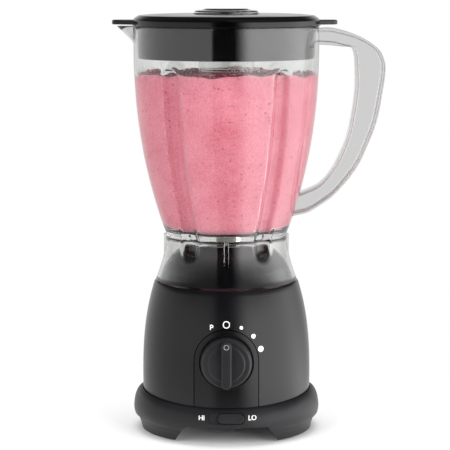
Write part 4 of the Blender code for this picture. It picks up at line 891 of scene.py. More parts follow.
class Rule:
    """A Geometry Nodes tree with named inputs, run once on a host mesh and kept as a plain mesh."""

    KINDS = {float: "NodeSocketFloat", int: "NodeSocketInt"}

    def __init__(self, name: str, inputs: dict[str, object]) -> None:
        """Starts the tree.

        Args:
            name: The tree's name.
            inputs: Each input's label and the value that it is run with.
        """
        self.tree = bpy.data.node_groups.new(name, "GeometryNodeTree")
        self.values: dict[str, object] = {}
        face = self.tree.interface
        face.new_socket("Host", in_out="INPUT", socket_type="NodeSocketGeometry")
        for label, value in inputs.items():
            kind = self.KINDS.get(type(value), "NodeSocketObject")
            if isinstance(value, bpy.types.Material):
                kind = "NodeSocketMaterial"
            self.values[face.new_socket(label, in_out="INPUT", socket_type=kind).identifier] = value
        face.new_socket("Geometry", in_out="OUTPUT", socket_type="NodeSocketGeometry")
        self.given = self.add("NodeGroupInput").outputs

    def add(self, kind: str, settings: dict | None = None, links: dict | None = None) -> bpy.types.Node:
        """Adds a node to the rule's tree."""
        return add_node(self.tree, kind, settings, links)

    def math(self, operation: str, one: object, other: object) -> bpy.types.Node:
        """Arithmetic on two values, each a number, socket or node."""
        return math_node(self.tree, operation, one, other)

    def close(self, geometry: object) -> None:
        """Ends the tree in plain geometry with its material.

        Args:
            geometry: The node or socket that ends the rule.
        """
        real = self.add("GeometryNodeRealizeInstances", links={0: geometry})
        links = {"Geometry": real, "Material": self.given["Finish"]}
        self.add("NodeGroupOutput", links={0: self.add("GeometryNodeSetMaterial", links=links)})

    def run(self, host: bpy.types.Object) -> bpy.types.Mesh:
        """Runs the rule.

        Args:
            host: The object whose mesh it starts from. Its own mesh isn't changed.

        Returns:
            The result as a plain mesh.
        """
        grown = host.modifiers.new("rule", "NODES")
        grown.node_group = self.tree
        for identifier, value in self.values.items():
            grown[identifier] = value
        made = evaluated(host)
        host.modifiers.remove(grown)
        return made


def copies(piece: bpy.types.Object, places: Sequence[Sequence[float]], finish: Finish) -> bpy.types.Mesh:
    """Puts a copy of one shape at each place.

    Args:
        piece: The shape, drawn round the origin. It is removed afterwards.
        places: Where the copies go.
        finish: Their finish.

    Returns:
        All the copies in one mesh.
    """
    rule = Rule("copies_at_places", {"Piece": piece, "Finish": finish.material()})
    points = rule.add("GeometryNodeMeshToPoints", links={0: rule.given["Host"]})
    shape = rule.add("GeometryNodeObjectInfo", links={"Object": rule.given["Piece"]})
    links = {"Points": points, "Instance": shape.outputs["Geometry"]}
    rule.close(rule.add("GeometryNodeInstanceOnPoints", links=links))
    dots = bpy.data.meshes.new("places")
    dots.from_pydata([tuple(place) for place in places], [], [])
    host = linked("host", dots)
    made = rule.run(host)
    for spent in (host, piece):
        bpy.data.objects.remove(spent)
    return made


def beads(
    ground: bpy.types.Object, finish: Finish, density: float, sizes: Span, seed: int
) -> bpy.types.Mesh:
    """Scatters small round beads over a surface.

    Args:
        ground: The object that carries them.
        finish: Their finish.
        density: Beads per square metre.
        sizes: Smallest and largest radius.
        seed: Seed of the scatter.

    Returns:
        The beads in one mesh.
    """
    inputs = {"Density": density, "Smallest": sizes[0], "Largest": sizes[1], "Seed": seed}
    rule = Rule("scattered_beads", {**inputs, "Finish": finish.material()})
    given = rule.given
    spread = rule.add(
        "GeometryNodeDistributePointsOnFaces",
        links={"Mesh": given["Host"], "Density": given["Density"], "Seed": given["Seed"]},
    )
    size = rule.add(
        "FunctionNodeRandomValue",
        {"data_type": "FLOAT"},
        {2: given["Smallest"], 3: given["Largest"], "Seed": given["Seed"]},
    )
    ball = rule.add("GeometryNodeMeshIcoSphere", {"Radius": 1.0, "Subdivisions": 2})
    links = {"Points": spread, "Instance": ball, "Scale": size.outputs[1]}
    rule.close(rule.add("GeometryNodeInstanceOnPoints", links=links))
    return rule.run(ground)


# ---------------------------------------------------------------- what all sub-assemblies share


@dataclass
class Assembly:
    """A sub-assembly: it builds its pieces round the drive axis and puts them on the frame."""

    axis: Vector

    def onto_axis(self) -> Matrix:
        """Moves a shape drawn round the origin onto the drive axis."""
        return Matrix.Translation((self.axis.x, self.axis.y, 0.0))

    def finish_piece(
        self,
        piece: bpy.types.Object,
        finish: Finish | None,
        body: str,
        slot: str,
        stands_for: Sequence[str] = (),
        sharp: float = 32.0,
    ) -> bpy.types.Object:
        """Moves a piece onto the drive axis, shades and dresses it, and ties it to the frame.

        Args:
            piece: The object, drawn round the origin.
            finish: Its finish, or None where the mesh has its material already.
            body: The CAD body that it moves with.
            slot: Not used.
            stands_for: CAD nodes that it replaces.
            sharp: Edges that turn by more degrees than this stay crisp.

        Returns:
            The piece.
        """
        piece.data.transform(self.onto_axis())
        return self.tie(piece, finish, body, slot, stands_for, sharp)

    def tie(
        self,
        piece: bpy.types.Object,
        finish: Finish | None,
        body: str,
        slot: str,
        stands_for: Sequence[str] = (),
        sharp: float = 32.0,
    ) -> bpy.types.Object:
        """Does what finish_piece does, for a piece that is already in place.

        Args:
            piece: The object, in its place.
            finish: Its finish, or None.
            body: The CAD body that it moves with.
            slot: Not used.
            stands_for: CAD nodes that it replaces.
            sharp: As in finish_piece.

        Returns:
            The piece.
        """
        mesh = piece.data
        if finish is not None:
            mesh.materials.clear()
            mesh.materials.append(finish.material())
        mesh.shade_smooth()
        mesh.set_sharp_from_angle(angle=math.radians(sharp))
        mesh.name = piece.name
        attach(piece, body)
        if stands_for:
            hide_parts(*stands_for)
        LOG.info("%s: %d faces, rides on %s", piece.name, len(mesh.polygons), body)
        return piece


# ---------------------------------------------------------------- jar


@dataclass
class Jar(Assembly):
    """Clear fluted jar with its skirt, key ribs, spout and I-beam handle in one moulding."""

    wall: float = 2.5 * MM
    rim_radius: float = 80.9 * MM
    waist_radius: float = 53.2 * MM
    skirt_radius: float = 62.5 * MM
    rim_z: float = 355.1 * MM
    seat_z: float = 340.1 * MM  # below this the wall closes in
    floor_z: float = 177.5 * MM
    floor_under_z: float = 171.0 * MM
    waist_z: float = 174.0 * MM
    flare_z: float = 168.0 * MM
    skirt_z: float = 132.4 * MM
    flute_low: float = 154.0 * MM
    flute_high: float = 320.6 * MM
    flute_half: float = 9.5 * MM
    flute_depth: float = 6.0 * MM
    flute_edge: float = 0.16  # how softly a flute's edge meets the wall
    flute_centres: tuple[float, ...] = (-126.5, -53.5, 53.5, 126.5)
    spout_reach: float = 14.5 * MM
    spout_height: float = 14.1 * MM
    spout_half_angle: float = 12.0
    hub_hole: float = 9.3 * MM
    key_radius: float = 48.0 * MM
    key_width: float = 4.0 * MM
    key_end_z: float = 151.0 * MM
    taper: float = 2.2  # how late the wall closes in
    flare: float = 1.5  # how late the skirt opens
    columns: int = 320
    flange: float = 2.8 * MM
    web: float = 4.0 * MM
    outer_width: float = 24.0 * MM
    inner_width: float = 19.0 * MM
    stations: int = 76
    # The handle's two edges, in mm: past the jar's rim, and below it.
    outer_edge: Outline = (
        (12.7, 1.9), (34.5, 8.8), (50.3, 19.2), (56.2, 29.7), (57.1, 40.1), (55.0, 56.0),
        (50.1, 82.0), (42.4, 103.1), (32.1, 124.3), (14.7, 145.5), (0.7, 156.1), (-10.5, 162.5),
    )
    inner_edge: Outline = (
        (9.3, 16.6), (18.0, 17.5), (26.8, 18.4), (30.0, 23.5), (31.2, 34.9), (31.4, 55.8),
        (29.0, 75.0), (24.5, 96.5), (16.5, 116.0), (8.3, 129.9), (-0.5, 138.6), (-9.5, 143.0),
    )
    edge_ends: tuple[Span, Span] = ((1.7, 165.5), (16.0, 146.5))  # where each meets the wall
    marks: int = 9
    lowest_mark: float = 196.0 * MM
    mark_spacing: float = 13.5 * MM
    mark_size: Span = (7.0 * MM, 0.55 * MM)
    words_z: float = 320.5 * MM
    word_height: float = 4.3 * MM

    def profile(self, z: float) -> float:
        """Outer radius at a height, without flutes and spout.

        Args:
            z: The height.

        Returns:
            The radius.
        """
        if z >= self.waist_z:
            fall = 1.0 - min(1.0, (z - self.waist_z) / (self.seat_z - self.waist_z))
            return self.rim_radius - (self.rim_radius - self.waist_radius) * fall**self.taper
        out = max(0.0, (self.flare_z - z) / (self.flare_z - self.skirt_z))
        return self.waist_radius + (self.skirt_radius - self.waist_radius) * out**self.flare

    def outside(self, angle: float, z: float) -> float:
        """Outer radius at an angle and height.

        Args:
            angle: Degrees from +X.
            z: Height.

        Returns:
            The radius with the flutes pressed in and the spout drawn out.
        """
        radius = self.profile(z)
        apart = min(degrees_apart(angle, centre) for centre in self.flute_centres)
        end = min(max(z, self.flute_low + self.flute_half), self.flute_high - self.flute_half)
        away = math.hypot(math.radians(apart) * radius, z - end) / self.flute_half
        aside = degrees_apart(angle, 180.0) / self.spout_half_angle
        lip = self.spout_reach * max(0.0, (z - self.rim_z + self.spout_height) / self.spout_height)
        inside = max(-3.0, 1.0 - away * away)
        press = 0.5 * (inside + math.hypot(inside, self.flute_edge))
        return radius - self.flute_depth * press + lip * swell(aside) ** 0.6

    def section(self, angle: float) -> list[tuple[float, float]]:
        """The wall's closed profile at an angle.

        Args:
            angle: Degrees from +X.

        Returns:
            (radius, z) points, from the rim down outside and up inside.
        """
        rim, wall = self.rim_z, self.wall
        heights = steps(rim - 0.9 * MM, self.flute_high + 2 * MM, 2.6 * MM)
        heights += steps(self.flute_high, self.flute_high - 14 * MM, 1.3 * MM)
        heights += steps(self.flute_high - 18 * MM, self.floor_z + 8 * MM, 4.2 * MM)
        down = heights + steps(self.floor_z + 5 * MM, self.flute_low - 2 * MM, 1.5 * MM)
        down += steps(self.flute_low - 5 * MM, self.skirt_z + 0.7 * MM, 3.5 * MM)
        lip = self.outside(angle, rim)
        points = [(lip - 0.9 * MM, rim), (lip - 0.25 * MM, rim - 0.25 * MM)]
        points += [(self.outside(angle, z), z) for z in down]
        foot = self.outside(angle, self.skirt_z)
        points += [(foot - 0.7 * MM, self.skirt_z), (foot - wall + 0.6 * MM, self.skirt_z)]
        inner = steps(self.skirt_z + 0.6 * MM, self.flute_low - 5 * MM, 3.5 * MM)
        inner += steps(self.flute_low - 3 * MM, self.floor_under_z - 2.5 * MM, 1.5 * MM)
        points += [(self.outside(angle, z) - wall, z) for z in inner]
        under = self.outside(angle, self.floor_under_z) - wall
        points += [(under - 0.6 * MM, self.floor_under_z - 0.7 * MM), (under - 2.2 * MM, self.floor_under_z)]
        points += [(self.hub_hole, self.floor_under_z), (self.hub_hole, self.floor_z)]
        corner = self.outside(angle, self.floor_z + 4 * MM) - wall
        points += [(corner - 5.0 * MM, self.floor_z), (corner - 2.6 * MM, self.floor_z + 0.5 * MM)]
        points += [(corner - 0.9 * MM, self.floor_z + 2.0 * MM)]
        up = [self.floor_z + 5 * MM] + heights[::-1]
        points += [(self.outside(angle, z) - wall, z) for z in up]
        return points + [(lip - wall + 0.25 * MM, rim - 0.25 * MM), (lip - wall + 0.9 * MM, rim)]

    def handle(self) -> bmesh.types.BMesh:
        """The handle as an I-beam with rounded edges, following its outer and inner edge curves.

        Returns:
            The handle, its ends inside the jar's wall.
        """
        root = 0.6 * self.wall
        edges = []
        for offsets, (top, foot) in zip((self.outer_edge, self.inner_edge), self.edge_ends):
            points = [(self.rim_radius - root, self.rim_z - top * MM)]
            points += [(self.rim_radius + x * MM, self.rim_z - drop * MM) for x, drop in offsets]
            low = self.rim_z - foot * MM
            edges.append(curve_through(points + [(self.profile(low) - root, low)], self.stations))
        return lofted([self.beam_section(outer, inner) for outer, inner in zip(*edges)])

    def beam_section(self, outer: Vector, inner: Vector) -> list[Vector]:
        """One ring of the handle.

        Args:
            outer: The outer edge's point in the XZ plane.
            inner: The inner edge's point.

        Returns:
            The ring's points.
        """
        depth = (inner - outer).length
        wide, narrow, web = self.outer_width / 2, self.inner_width / 2, self.web / 2
        edge, root = 0.5 * MM, 0.8 * MM
        half = [
            (0.0, wide, edge),
            (self.flange, wide, edge),
            (self.flange + 0.3 * MM, web, root),
            (depth - self.flange - 0.3 * MM, web, root),
            (depth - self.flange, narrow, edge),
            (depth, narrow, edge),
        ]
        outline = fillet(half + [(along, -side, round_) for along, side, round_ in reversed(half)], 3)
        across = [(outer.lerp(inner, along / depth), side) for along, side in outline]
        return [Vector((point.x, side, point.y)) for point, side in across]

    def keys(self) -> bmesh.types.BMesh:
        """Four ribs inside the skirt that stop the jar from turning.

        Returns:
            The four ribs.
        """
        reach = self.profile(self.key_end_z) - 0.5 * self.wall
        top = self.floor_under_z + 2 * MM
        half, near, edge = self.key_width / 2, self.key_radius, 0.8 * MM
        outline = fillet([(near, -half, edge), (reach, -half), (reach, half), (near, half, edge)], 3)
        return in_quarters(lambda: prism(outline, self.key_end_z, top))

    def build(self) -> None:
        """Makes the jar and its graduations."""
        jar = as_object("jar_moulding", turned(self.section, self.columns))
        combine(jar, joined([self.handle(), self.keys()]), How.ADD)
        self.finish_piece(jar, CLEAR_SAN, "jar", "clear_plastic", ("jar",), 40.0)
        self.graduations()

    def graduations(self) -> None:
        """Moulded level marks and two unit words on the front, which follow the wall."""
        inputs = {"Marks": self.marks, "Lowest": self.lowest_mark, "Spacing": self.mark_spacing}
        inputs |= {"Width": self.mark_size[0], "Thickness": self.mark_size[1]}
        inputs |= {"Rim Radius": self.rim_radius, "Waist Radius": self.waist_radius}
        rule = Rule("level_marks", {**inputs, "Finish": FROSTED_SAN.material()})
        given = rule.given
        line = rule.add("GeometryNodeMeshLine", {"mode": "OFFSET"}, {"Count": given["Marks"]})
        number = rule.add("GeometryNodeInputIndex")
        height = rule.math("ADD", rule.math("MULTIPLY", number, given["Spacing"]), given["Lowest"])
        share = rule.math("DIVIDE", rule.math("SUBTRACT", self.seat_z, height), self.seat_z - self.waist_z)
        drop = rule.math("SUBTRACT", given["Rim Radius"], given["Waist Radius"])
        inset = rule.math("MULTIPLY", drop, rule.math("POWER", share, self.taper))
        out = rule.math("MULTIPLY", rule.math("SUBTRACT", given["Rim Radius"], inset), -1.0)
        place = rule.add("ShaderNodeCombineXYZ", {"X": 4.6 * MM}, {"Y": out, "Z": height})
        points = rule.add("GeometryNodeSetPosition", links={"Geometry": line, "Position": place})
        links = {"X": given["Width"], "Z": given["Thickness"]}
        size = rule.add("ShaderNodeCombineXYZ", {"Y": 0.7 * MM}, links)
        bar = rule.add("GeometryNodeMeshCube", {"Vertices X": 6}, {"Size": size})
        rule.close(rule.add("GeometryNodeInstanceOnPoints", links={"Points": points, "Instance": bar}))
        host = as_object("host", bmesh.new())
        marks = linked("jar_level_marks", rule.run(host))
        bpy.data.objects.remove(host)
        for vertex in marks.data.vertices:
            z = vertex.co.z
            surface = self.outside(math.degrees(math.atan2(vertex.co.y, vertex.co.x)), z)
            outer = vertex.co.xy.length > self.profile(z)
            radius = surface + (0.12 * MM if outer else -0.3 * MM)
            vertex.co.xy = vertex.co.xy.normalized() * radius
        self.finish_piece(marks, None, "jar", "clear_plastic")
        for name, text, x in (("jar_mark_small", "OZ", 4.8 * MM), ("jar_mark_large", "CUPS", 21.6 * MM)):
            word = lettered(text, self.word_height, 0.1 * MM, 0.3 * MM)
            wrapped(word, x, self.words_z, self.profile)
            word.name = name
            self.finish_piece(word, FROSTED_SAN, "jar", "clear_plastic")


@dataclass
class Drink(Assembly):
    """The drink in the jar: one closed body with room for the cutter, and foam on top."""

    jar: Jar = field(default_factory=lambda: Jar(Vector()))
    film: float = -0.04 * MM  # the drink wets the wall
    level: float = 313.0 * MM
    cutter_room: float = 30.5 * MM
    room_top: float = 208.0 * MM

    def ripple(self, angle: float, share: float) -> float:
        """How far the top stands above its level.

        Args:
            angle: Degrees from +X.
            share: 0 at the middle and 1 at the wall.

        Returns:
            The rise.
        """
        turn = math.radians(angle)
        waves = 0.5 * math.sin(5 * turn + 7 * share) + 0.35 * math.sin(11 * turn - 9 * share + 1.3)
        waves += 0.25 * math.sin(23 * turn + 13 * share) + 0.4 * math.sin(2 * turn + 4 * share + 0.6)
        return 1.1 * MM * waves * share + 2.2 * MM * max(0.0, share - 0.93) / 0.07 * (0.6 + 0.4 * waves)

    def section(self, angle: float) -> list[tuple[float, float]]:
        """The drink's closed profile at an angle.

        Args:
            angle: Degrees from +X.

        Returns:
            (radius, z) points, from the foot up and back down inside.
        """
        inset = self.jar.wall + self.film
        low = self.jar.floor_z + 0.35 * MM
        heights = steps(low + 5 * MM, self.level - 1 * MM, 2.6 * MM)
        wall = [(self.jar.outside(angle, z) - inset, z) for z in heights]
        edge = self.jar.outside(angle, self.level) - inset
        shares = steps(1.0, 0.0, 0.03)
        top = [(edge * share, self.level + self.ripple(angle, share)) for share in shares]
        corner = self.jar.outside(angle, low + 4 * MM) - inset
        room = [(self.cutter_room - 2 * MM, self.room_top - 4 * MM), (self.cutter_room, low + 14 * MM)]
        room += [(self.cutter_room, low), (corner - 5 * MM, low), (corner - 1.8 * MM, low + 1.2 * MM)]
        return wall + top + [(0.0, self.room_top)] + room

    def build(self) -> None:
        """Makes the drink, its foam and the bits that float in it."""
        drink = as_object("drink", turned(self.section, 288))
        self.finish_piece(drink, DRINK, "jar", "clear_plastic", sharp=50.0)
        top = bmesh.new()
        top.from_mesh(drink.data)
        low = self.level - 0.6 * MM
        off = [face for face in top.faces if face.calc_center_median().z < low or face.normal.z < 0.3]
        bmesh.ops.delete(top, geom=off, context="FACES")
        surface = as_object("surface", top)
        # The foam's darker finish is painted shade from the lid above.
        for name, finish, density, sizes, seed in (
            ("drink_foam", FOAM_PAINTED_SHADE, 26000.0, (0.5 * MM, 1.7 * MM), 4),
            ("drink_froth", DRINK, 12000.0, (0.4 * MM, 1.1 * MM), 9),
        ):
            froth = linked(name, beads(surface, finish, density, sizes, seed))
            self.tie(froth, None, "jar", "clear_plastic", sharp=60.0)
        bpy.data.objects.remove(surface)


# ---------------------------------------------------------------- lid and cap


@dataclass
class Lid(Assembly):
    """Glossy plug lid with a skirt inside the jar, a tab over the spout and one to lift it by."""

    radius: float = 82.0 * MM
    seat_z: float = 355.4 * MM
    top_z: float = 365.6 * MM
    flange: float = 6.2 * MM
    dome: float = 4.0 * MM
    wall: float = 2.4 * MM
    skirt_depth: float = 28.0 * MM
    cap_seat_z: float = 363.2 * MM
    cap_radius: float = 27.8 * MM
    cup_radius: float = 24.6 * MM
    collar: float = 16.0 * MM
    jar_rim: float = 80.9 * MM
    jar_wall: float = 2.5 * MM

    def section(self) -> list[tuple[float, float]]:
        """The lid's closed profile.

        Returns:
            (radius, z) points, from the seat up over the top and down inside.
        """
        seat = self.cap_radius + 1.2 * MM
        inner = self.cup_radius + 0.5 * MM
        outer = inner + self.wall
        skirt = self.jar_rim - self.jar_wall - 0.7 * MM
        foot = skirt - 0.7 * MM
        foot_z = self.seat_z - self.skirt_depth
        crest = self.seat_z + self.flange
        under = crest - self.wall
        out, low = self.radius, self.cap_seat_z - self.collar
        return fillet(
            [
                (out - 0.3 * MM, self.seat_z, 0.4 * MM),
                (out, self.seat_z + 1.5 * MM, 0.6 * MM),
                (out - 0.3 * MM, crest - 1.5 * MM, 1.2 * MM),
                (out - 2.2 * MM, crest + 0.1 * self.dome, 0.8 * MM),
                (out - 5.5 * MM, crest + 0.65 * self.dome, 2.5 * MM),
                (out - 14.0 * MM, crest + 0.85 * self.dome, 6.0 * MM),
                (out - 24.0 * MM, self.top_z - 0.2 * MM, 20.0 * MM),
                (seat + 0.8 * MM, self.top_z, 0.7 * MM),
                (seat, self.cap_seat_z, 0.4 * MM),
                (inner, self.cap_seat_z, 0.4 * MM),
                (inner, low, 0.5 * MM),
                (outer, low, 0.5 * MM),
                (outer, under, 1.0 * MM),
                (out - 14.0 * MM, under, 2.0 * MM),
                (skirt - self.wall, under - 1.5 * MM, 1.0 * MM),
                (foot - self.wall, foot_z, 0.5 * MM),
                (foot, foot_z, 0.8 * MM),
                (skirt, self.seat_z, 0.4 * MM),
            ],
            5,
        )

    def tab(self, side: int, reach: float, root: float, tip: float) -> bmesh.types.BMesh:
        """A tab past the rim.

        Args:
            side: 1 towards the handle and -1 towards the spout.
            reach: How far past the jar's rim it goes.
            root: Half its width at the lid.
            tip: Half its width near its end.

        Returns:
            The tab as a bmesh.
        """
        low = self.seat_z + 1.0 * MM
        inboard = self.radius - 4.0 * MM
        middle = self.jar_rim + reach - tip * 0.5
        bend = [math.radians(a) for a in range(-86, 87, 12)]
        end = [(middle + tip * 0.5 * math.cos(t), tip * math.sin(t)) for t in bend]
        outline = [(inboard, -root)] + end + [(inboard, root)]
        rings = []
        for z, inset in ((0.0, 0.5), (0.4, 0.1), (2.0, 0.0), (3.3, 0.15), (3.75, 0.5), (4.0, 1.1)):
            share = 1 - inset * MM / tip
            ring = [(side * (x if x == inboard else x - inset * MM), y * share) for x, y in outline]
            rings.append([Vector((x, y, low + z * MM)) for x, y in ring])
        return lofted(rings)

    def build(self) -> None:
        """Makes the lid."""
        lid = as_object("lid_moulding", turned(self.section()))
        tabs = [self.tab(-1, 18.7 * MM, 20.0 * MM, 9.0 * MM), self.tab(1, 15.7 * MM, 15.0 * MM, 11.0 * MM)]
        combine(lid, joined(tabs), How.ADD)
        self.finish_piece(lid, LID_PP, "lid", "black_lid", ("lid",))


@dataclass
class FillerCap(Assembly):
    """Clear measuring cap whose cup hangs through the lid, open end down."""

    radius: float = 27.8 * MM
    cup_radius: float = 24.6 * MM
    cup_wall: float = 2.1 * MM
    cup_depth: float = 48.0 * MM
    height: float = 6.5 * MM
    seat_z: float = 363.5 * MM

    def build(self) -> None:
        """Makes the cap."""
        low, top = self.seat_z, self.seat_z + self.height
        inner = self.cup_radius - self.cup_wall
        foot = low - self.cup_depth
        section = spindle(
            [
                (0.2 * self.radius, top),
                (self.radius * 0.66, top, 1.5 * MM),
                (self.radius * 0.76, top - 1.1 * MM, 2.0 * MM),
                (self.radius - 1.0 * MM, top - 1.7 * MM, 1.0 * MM),
                (self.radius, top - 2.6 * MM, 0.8 * MM),
                (self.radius, low, 0.5 * MM),
                (self.cup_radius, low, 0.3 * MM),
                (self.cup_radius - 0.3 * MM, foot, 0.7 * MM),
                (inner - 0.3 * MM, foot, 0.7 * MM),
                (inner, top - 3.6 * MM, 2.0 * MM),
                (0.2 * inner, top - 3.4 * MM),
            ],
            4,
        )
        cap = as_object("measuring_cap", turned(section, 160))
        self.finish_piece(cap, CLEAR_SAN, "cap", "clear_plastic", ("filler_cap",))


# ---------------------------------------------------------------- motor base


@dataclass
class MotorBase(Assembly):
    """Tapered housing with its dome and well, foot ring, feet and screws, and the hole for the inlet bush."""

    radius: float = 74.0 * MM
    shoulder_radius: float = 63.2 * MM
    shoulder_z: float = 132.1 * MM
    straight_z: float = 45.0 * MM
    rim_z: float = 28.0 * MM
    wall: float = 2.5 * MM
    dome_height: float = 33.0 * MM
    dome_radius: float = 32.0 * MM
    dome_foot: float = 59.2 * MM
    dome_gap: float = 0.8 * MM  # to the jar's wall
    taper: float = 2.6  # how late the housing closes in
    well_radius: float = 21.0 * MM
    well_floor: float = 149.1 * MM
    shaft_hole: float = 5.2 * MM
    key_radius: float = 47.5 * MM
    key_half: float = 2.5 * MM
    key_foot_z: float = 149.5 * MM
    panel_half: float = 28.0 * MM
    knob_z: float = 72.0 * MM
    inlet_z: float = 45.0 * MM
    inlet_hole: float = 6.1 * MM
    bulge_radius: float = 82.16 * MM
    bulge_z: float = 19.0 * MM
    foot_radius: float = 75.6 * MM
    foot_lift: float = 1.2 * MM
    ring_wall: float = 2.6 * MM
    side_lip_z: float = 36.0 * MM
    front_dip: float = 4.0 * MM
    ledge_z: float = 27.7 * MM
    cover_top: float = 19.0 * MM
    arch_top: float = 16.5 * MM
    window: tuple[float, float] = (32.0 * MM, 10.0 * MM)
    window_z: float = 25.0 * MM
    switch_face: float = -3.4 * MM
    foot_circle: float = 62.6 * MM
    foot_angles: tuple[float, ...] = (32.0, 148.0, -32.0, -148.0)
    jar: Jar = field(default_factory=lambda: Jar(Vector()))

    def housing_radius(self, z: float) -> float:
        """Outer radius of the housing at a height."""
        rise = max(0.0, (z - self.straight_z) / (self.shoulder_z - self.straight_z))
        return self.radius - (self.radius - self.shoulder_radius) * min(1.0, rise) ** self.taper

    def dome_at(self, z: float) -> float:
        """Outer radius of the dome at a height, kept clear of the jar's flutes.

        Args:
            z: The height.

        Returns:
            The radius.
        """
        rise = min(1.0, max(0.0, (z - self.shoulder_z) / self.dome_height))
        free = self.dome_radius + (self.dome_foot - self.dome_radius) * (1 - rise**1.5) ** 0.65
        flute = self.jar.outside(self.jar.flute_centres[0], z)
        return min(free, flute - self.jar.wall - self.dome_gap)

    def lip_z(self, angle: float) -> float:
        """Height of the ring's upper edge, which dips at the front and back."""
        return self.side_lip_z - self.front_dip * math.sin(math.radians(angle)) ** 2

    def ring_point(self, share: float, lip: float) -> tuple[float, float]:
        """Radius and height on the ring's upper flare.

        Args:
            share: 0 at the upper edge and 1 at the widest point.
            lip: Height of the upper edge.

        Returns:
            (radius, z).
        """
        turn = share * math.pi / 2
        top = self.radius + 1.2 * MM
        return (
            top + (self.bulge_radius - top) * math.sin(turn),
            self.bulge_z + (lip - self.bulge_z) * math.cos(turn),
        )

    def ring_radius(self, z: float) -> float:
        """Radius of the ring's front at a height above its widest point.

        Args:
            z: The height.

        Returns:
            The radius.
        """
        lip = self.lip_z(FRONT)
        turn = math.acos((z - self.bulge_z) / (lip - self.bulge_z))
        return self.ring_point(turn / (math.pi / 2), lip)[0]

    def switch_place(self) -> Matrix:
        """Place of the range switch: X along its travel, Y up the face and Z outwards.

        Returns:
            The matrix that moves a shape drawn round the origin there.
        """
        lip = self.lip_z(FRONT)
        share = math.acos((self.window_z - self.bulge_z) / (lip - self.bulge_z)) / (math.pi / 2)
        radius, z = self.ring_point(share, lip)
        ahead, ahead_z = self.ring_point(share + 0.01, lip)
        tilt = math.atan2(ahead - radius, z - ahead_z)
        return Matrix.Translation((0, -radius, z)) @ Matrix.Rotation(math.radians(90) - tilt, 4, "X")

    def facing(self, z: float, turn: float = 0.0) -> Matrix:
        """Turns an upright shape to face forwards at a height, or another way.

        Args:
            z: The height.
            turn: Degrees round Z.

        Returns:
            The matrix.
        """
        upright = Matrix.Translation((0, 0, z)) @ Matrix.Rotation(math.radians(90), 4, "X")
        return Matrix.Rotation(math.radians(turn), 4, "Z") @ upright

    def arch(self, half: float) -> list[tuple[float, float]]:
        """Cross-section of the gap between two feet, with rounded upper corners.

        Args:
            half: Half its width at the top.

        Returns:
            (x, z) points.
        """
        splay, corner = 7.0 * MM, 6.0 * MM
        right = [(half + splay, -5.0 * MM), (half + splay, 0.0)]
        for i in range(9):
            x, y = around(corner, 20.0 + 70.0 * i / 8)
            right.append((half - corner + x, self.arch_top - corner + y))
        return right + [(-x, y) for x, y in reversed(right)]

    def panel_outline(self, shrink: float, foot: float) -> list[tuple[float, float]]:
        """The arched front panel seen from the front.

        Args:
            shrink: How far inside the opening it stays.
            foot: Height of its lower edge.

        Returns:
            (x, z) points.
        """
        half = self.panel_half - shrink
        bow = [around(half, 4.5 * i) for i in range(41)]
        return [(half, foot)] + [(x, self.knob_z + y) for x, y in bow] + [(-half, foot)]

    def housing(self) -> None:
        """Tapered shell, shoulder, dome, well and key slots."""
        wall, top = self.wall, self.shoulder_z + self.dome_height
        heights = steps(self.rim_z + 1 * MM, self.shoulder_z - 1.2 * MM, 4.0 * MM)
        outside = [(self.housing_radius(self.rim_z) - 0.3 * MM, self.rim_z)]
        outside += [(self.housing_radius(z), z) for z in heights]
        crown = [(self.shoulder_radius - 0.4 * MM, self.shoulder_z - 0.3 * MM)]
        crown.append((self.shoulder_radius - 1.2 * MM, self.shoulder_z))
        dome = [(self.dome_at(z), z) for z in steps(self.shoulder_z, top - 0.05 * MM, 1.3 * MM)]
        well = fillet(
            [
                (self.dome_radius, top),
                (self.well_radius + 1.0 * MM, top, 0.8 * MM),
                (self.well_radius, top - 1.5 * MM, 0.8 * MM),
                (self.well_radius, self.well_floor, 1.5 * MM),
                (self.shaft_hole, self.well_floor, 0.4 * MM),
                (self.shaft_hole, self.well_floor - wall),
            ],
            4,
            closed=False,
        )
        ceiling = top - wall - 0.5 * MM
        inside = [(self.well_radius + wall, self.well_floor - wall), (self.well_radius + wall, ceiling)]
        inside.append((self.dome_radius - 1 * MM, ceiling))
        heights = steps(top - 6 * MM, self.shoulder_z, 4 * MM)
        inside += [(self.dome_at(z) - wall * 1.2, z - 0.6 * wall) for z in heights]
        heights = steps(self.shoulder_z - wall, self.rim_z, 8 * MM)
        inside += [(self.housing_radius(z) - wall, z) for z in heights]
        shell = as_object("motor_housing", turned(outside + crown + dome + well + inside))
        corners = (self.key_radius, -self.key_half, self.key_foot_z), (68 * MM, self.key_half, top + 5 * MM)
        combine(shell, in_quarters(lambda: block(*corners)), How.CUT)
        opening = moved(prism(self.panel_outline(0.0, -5 * MM), 0, 2 * self.radius), self.facing(0))
        combine(shell, opening, How.CUT)
        hole = tube(0.0, self.inlet_hole, 0.0, 2 * self.radius, 48)
        combine(shell, moved(hole, self.facing(self.inlet_z, 180.0)), How.CUT)
        self.finish_piece(shell, HOUSING_ABS, "base", "black_housing", ("upper_housing",))

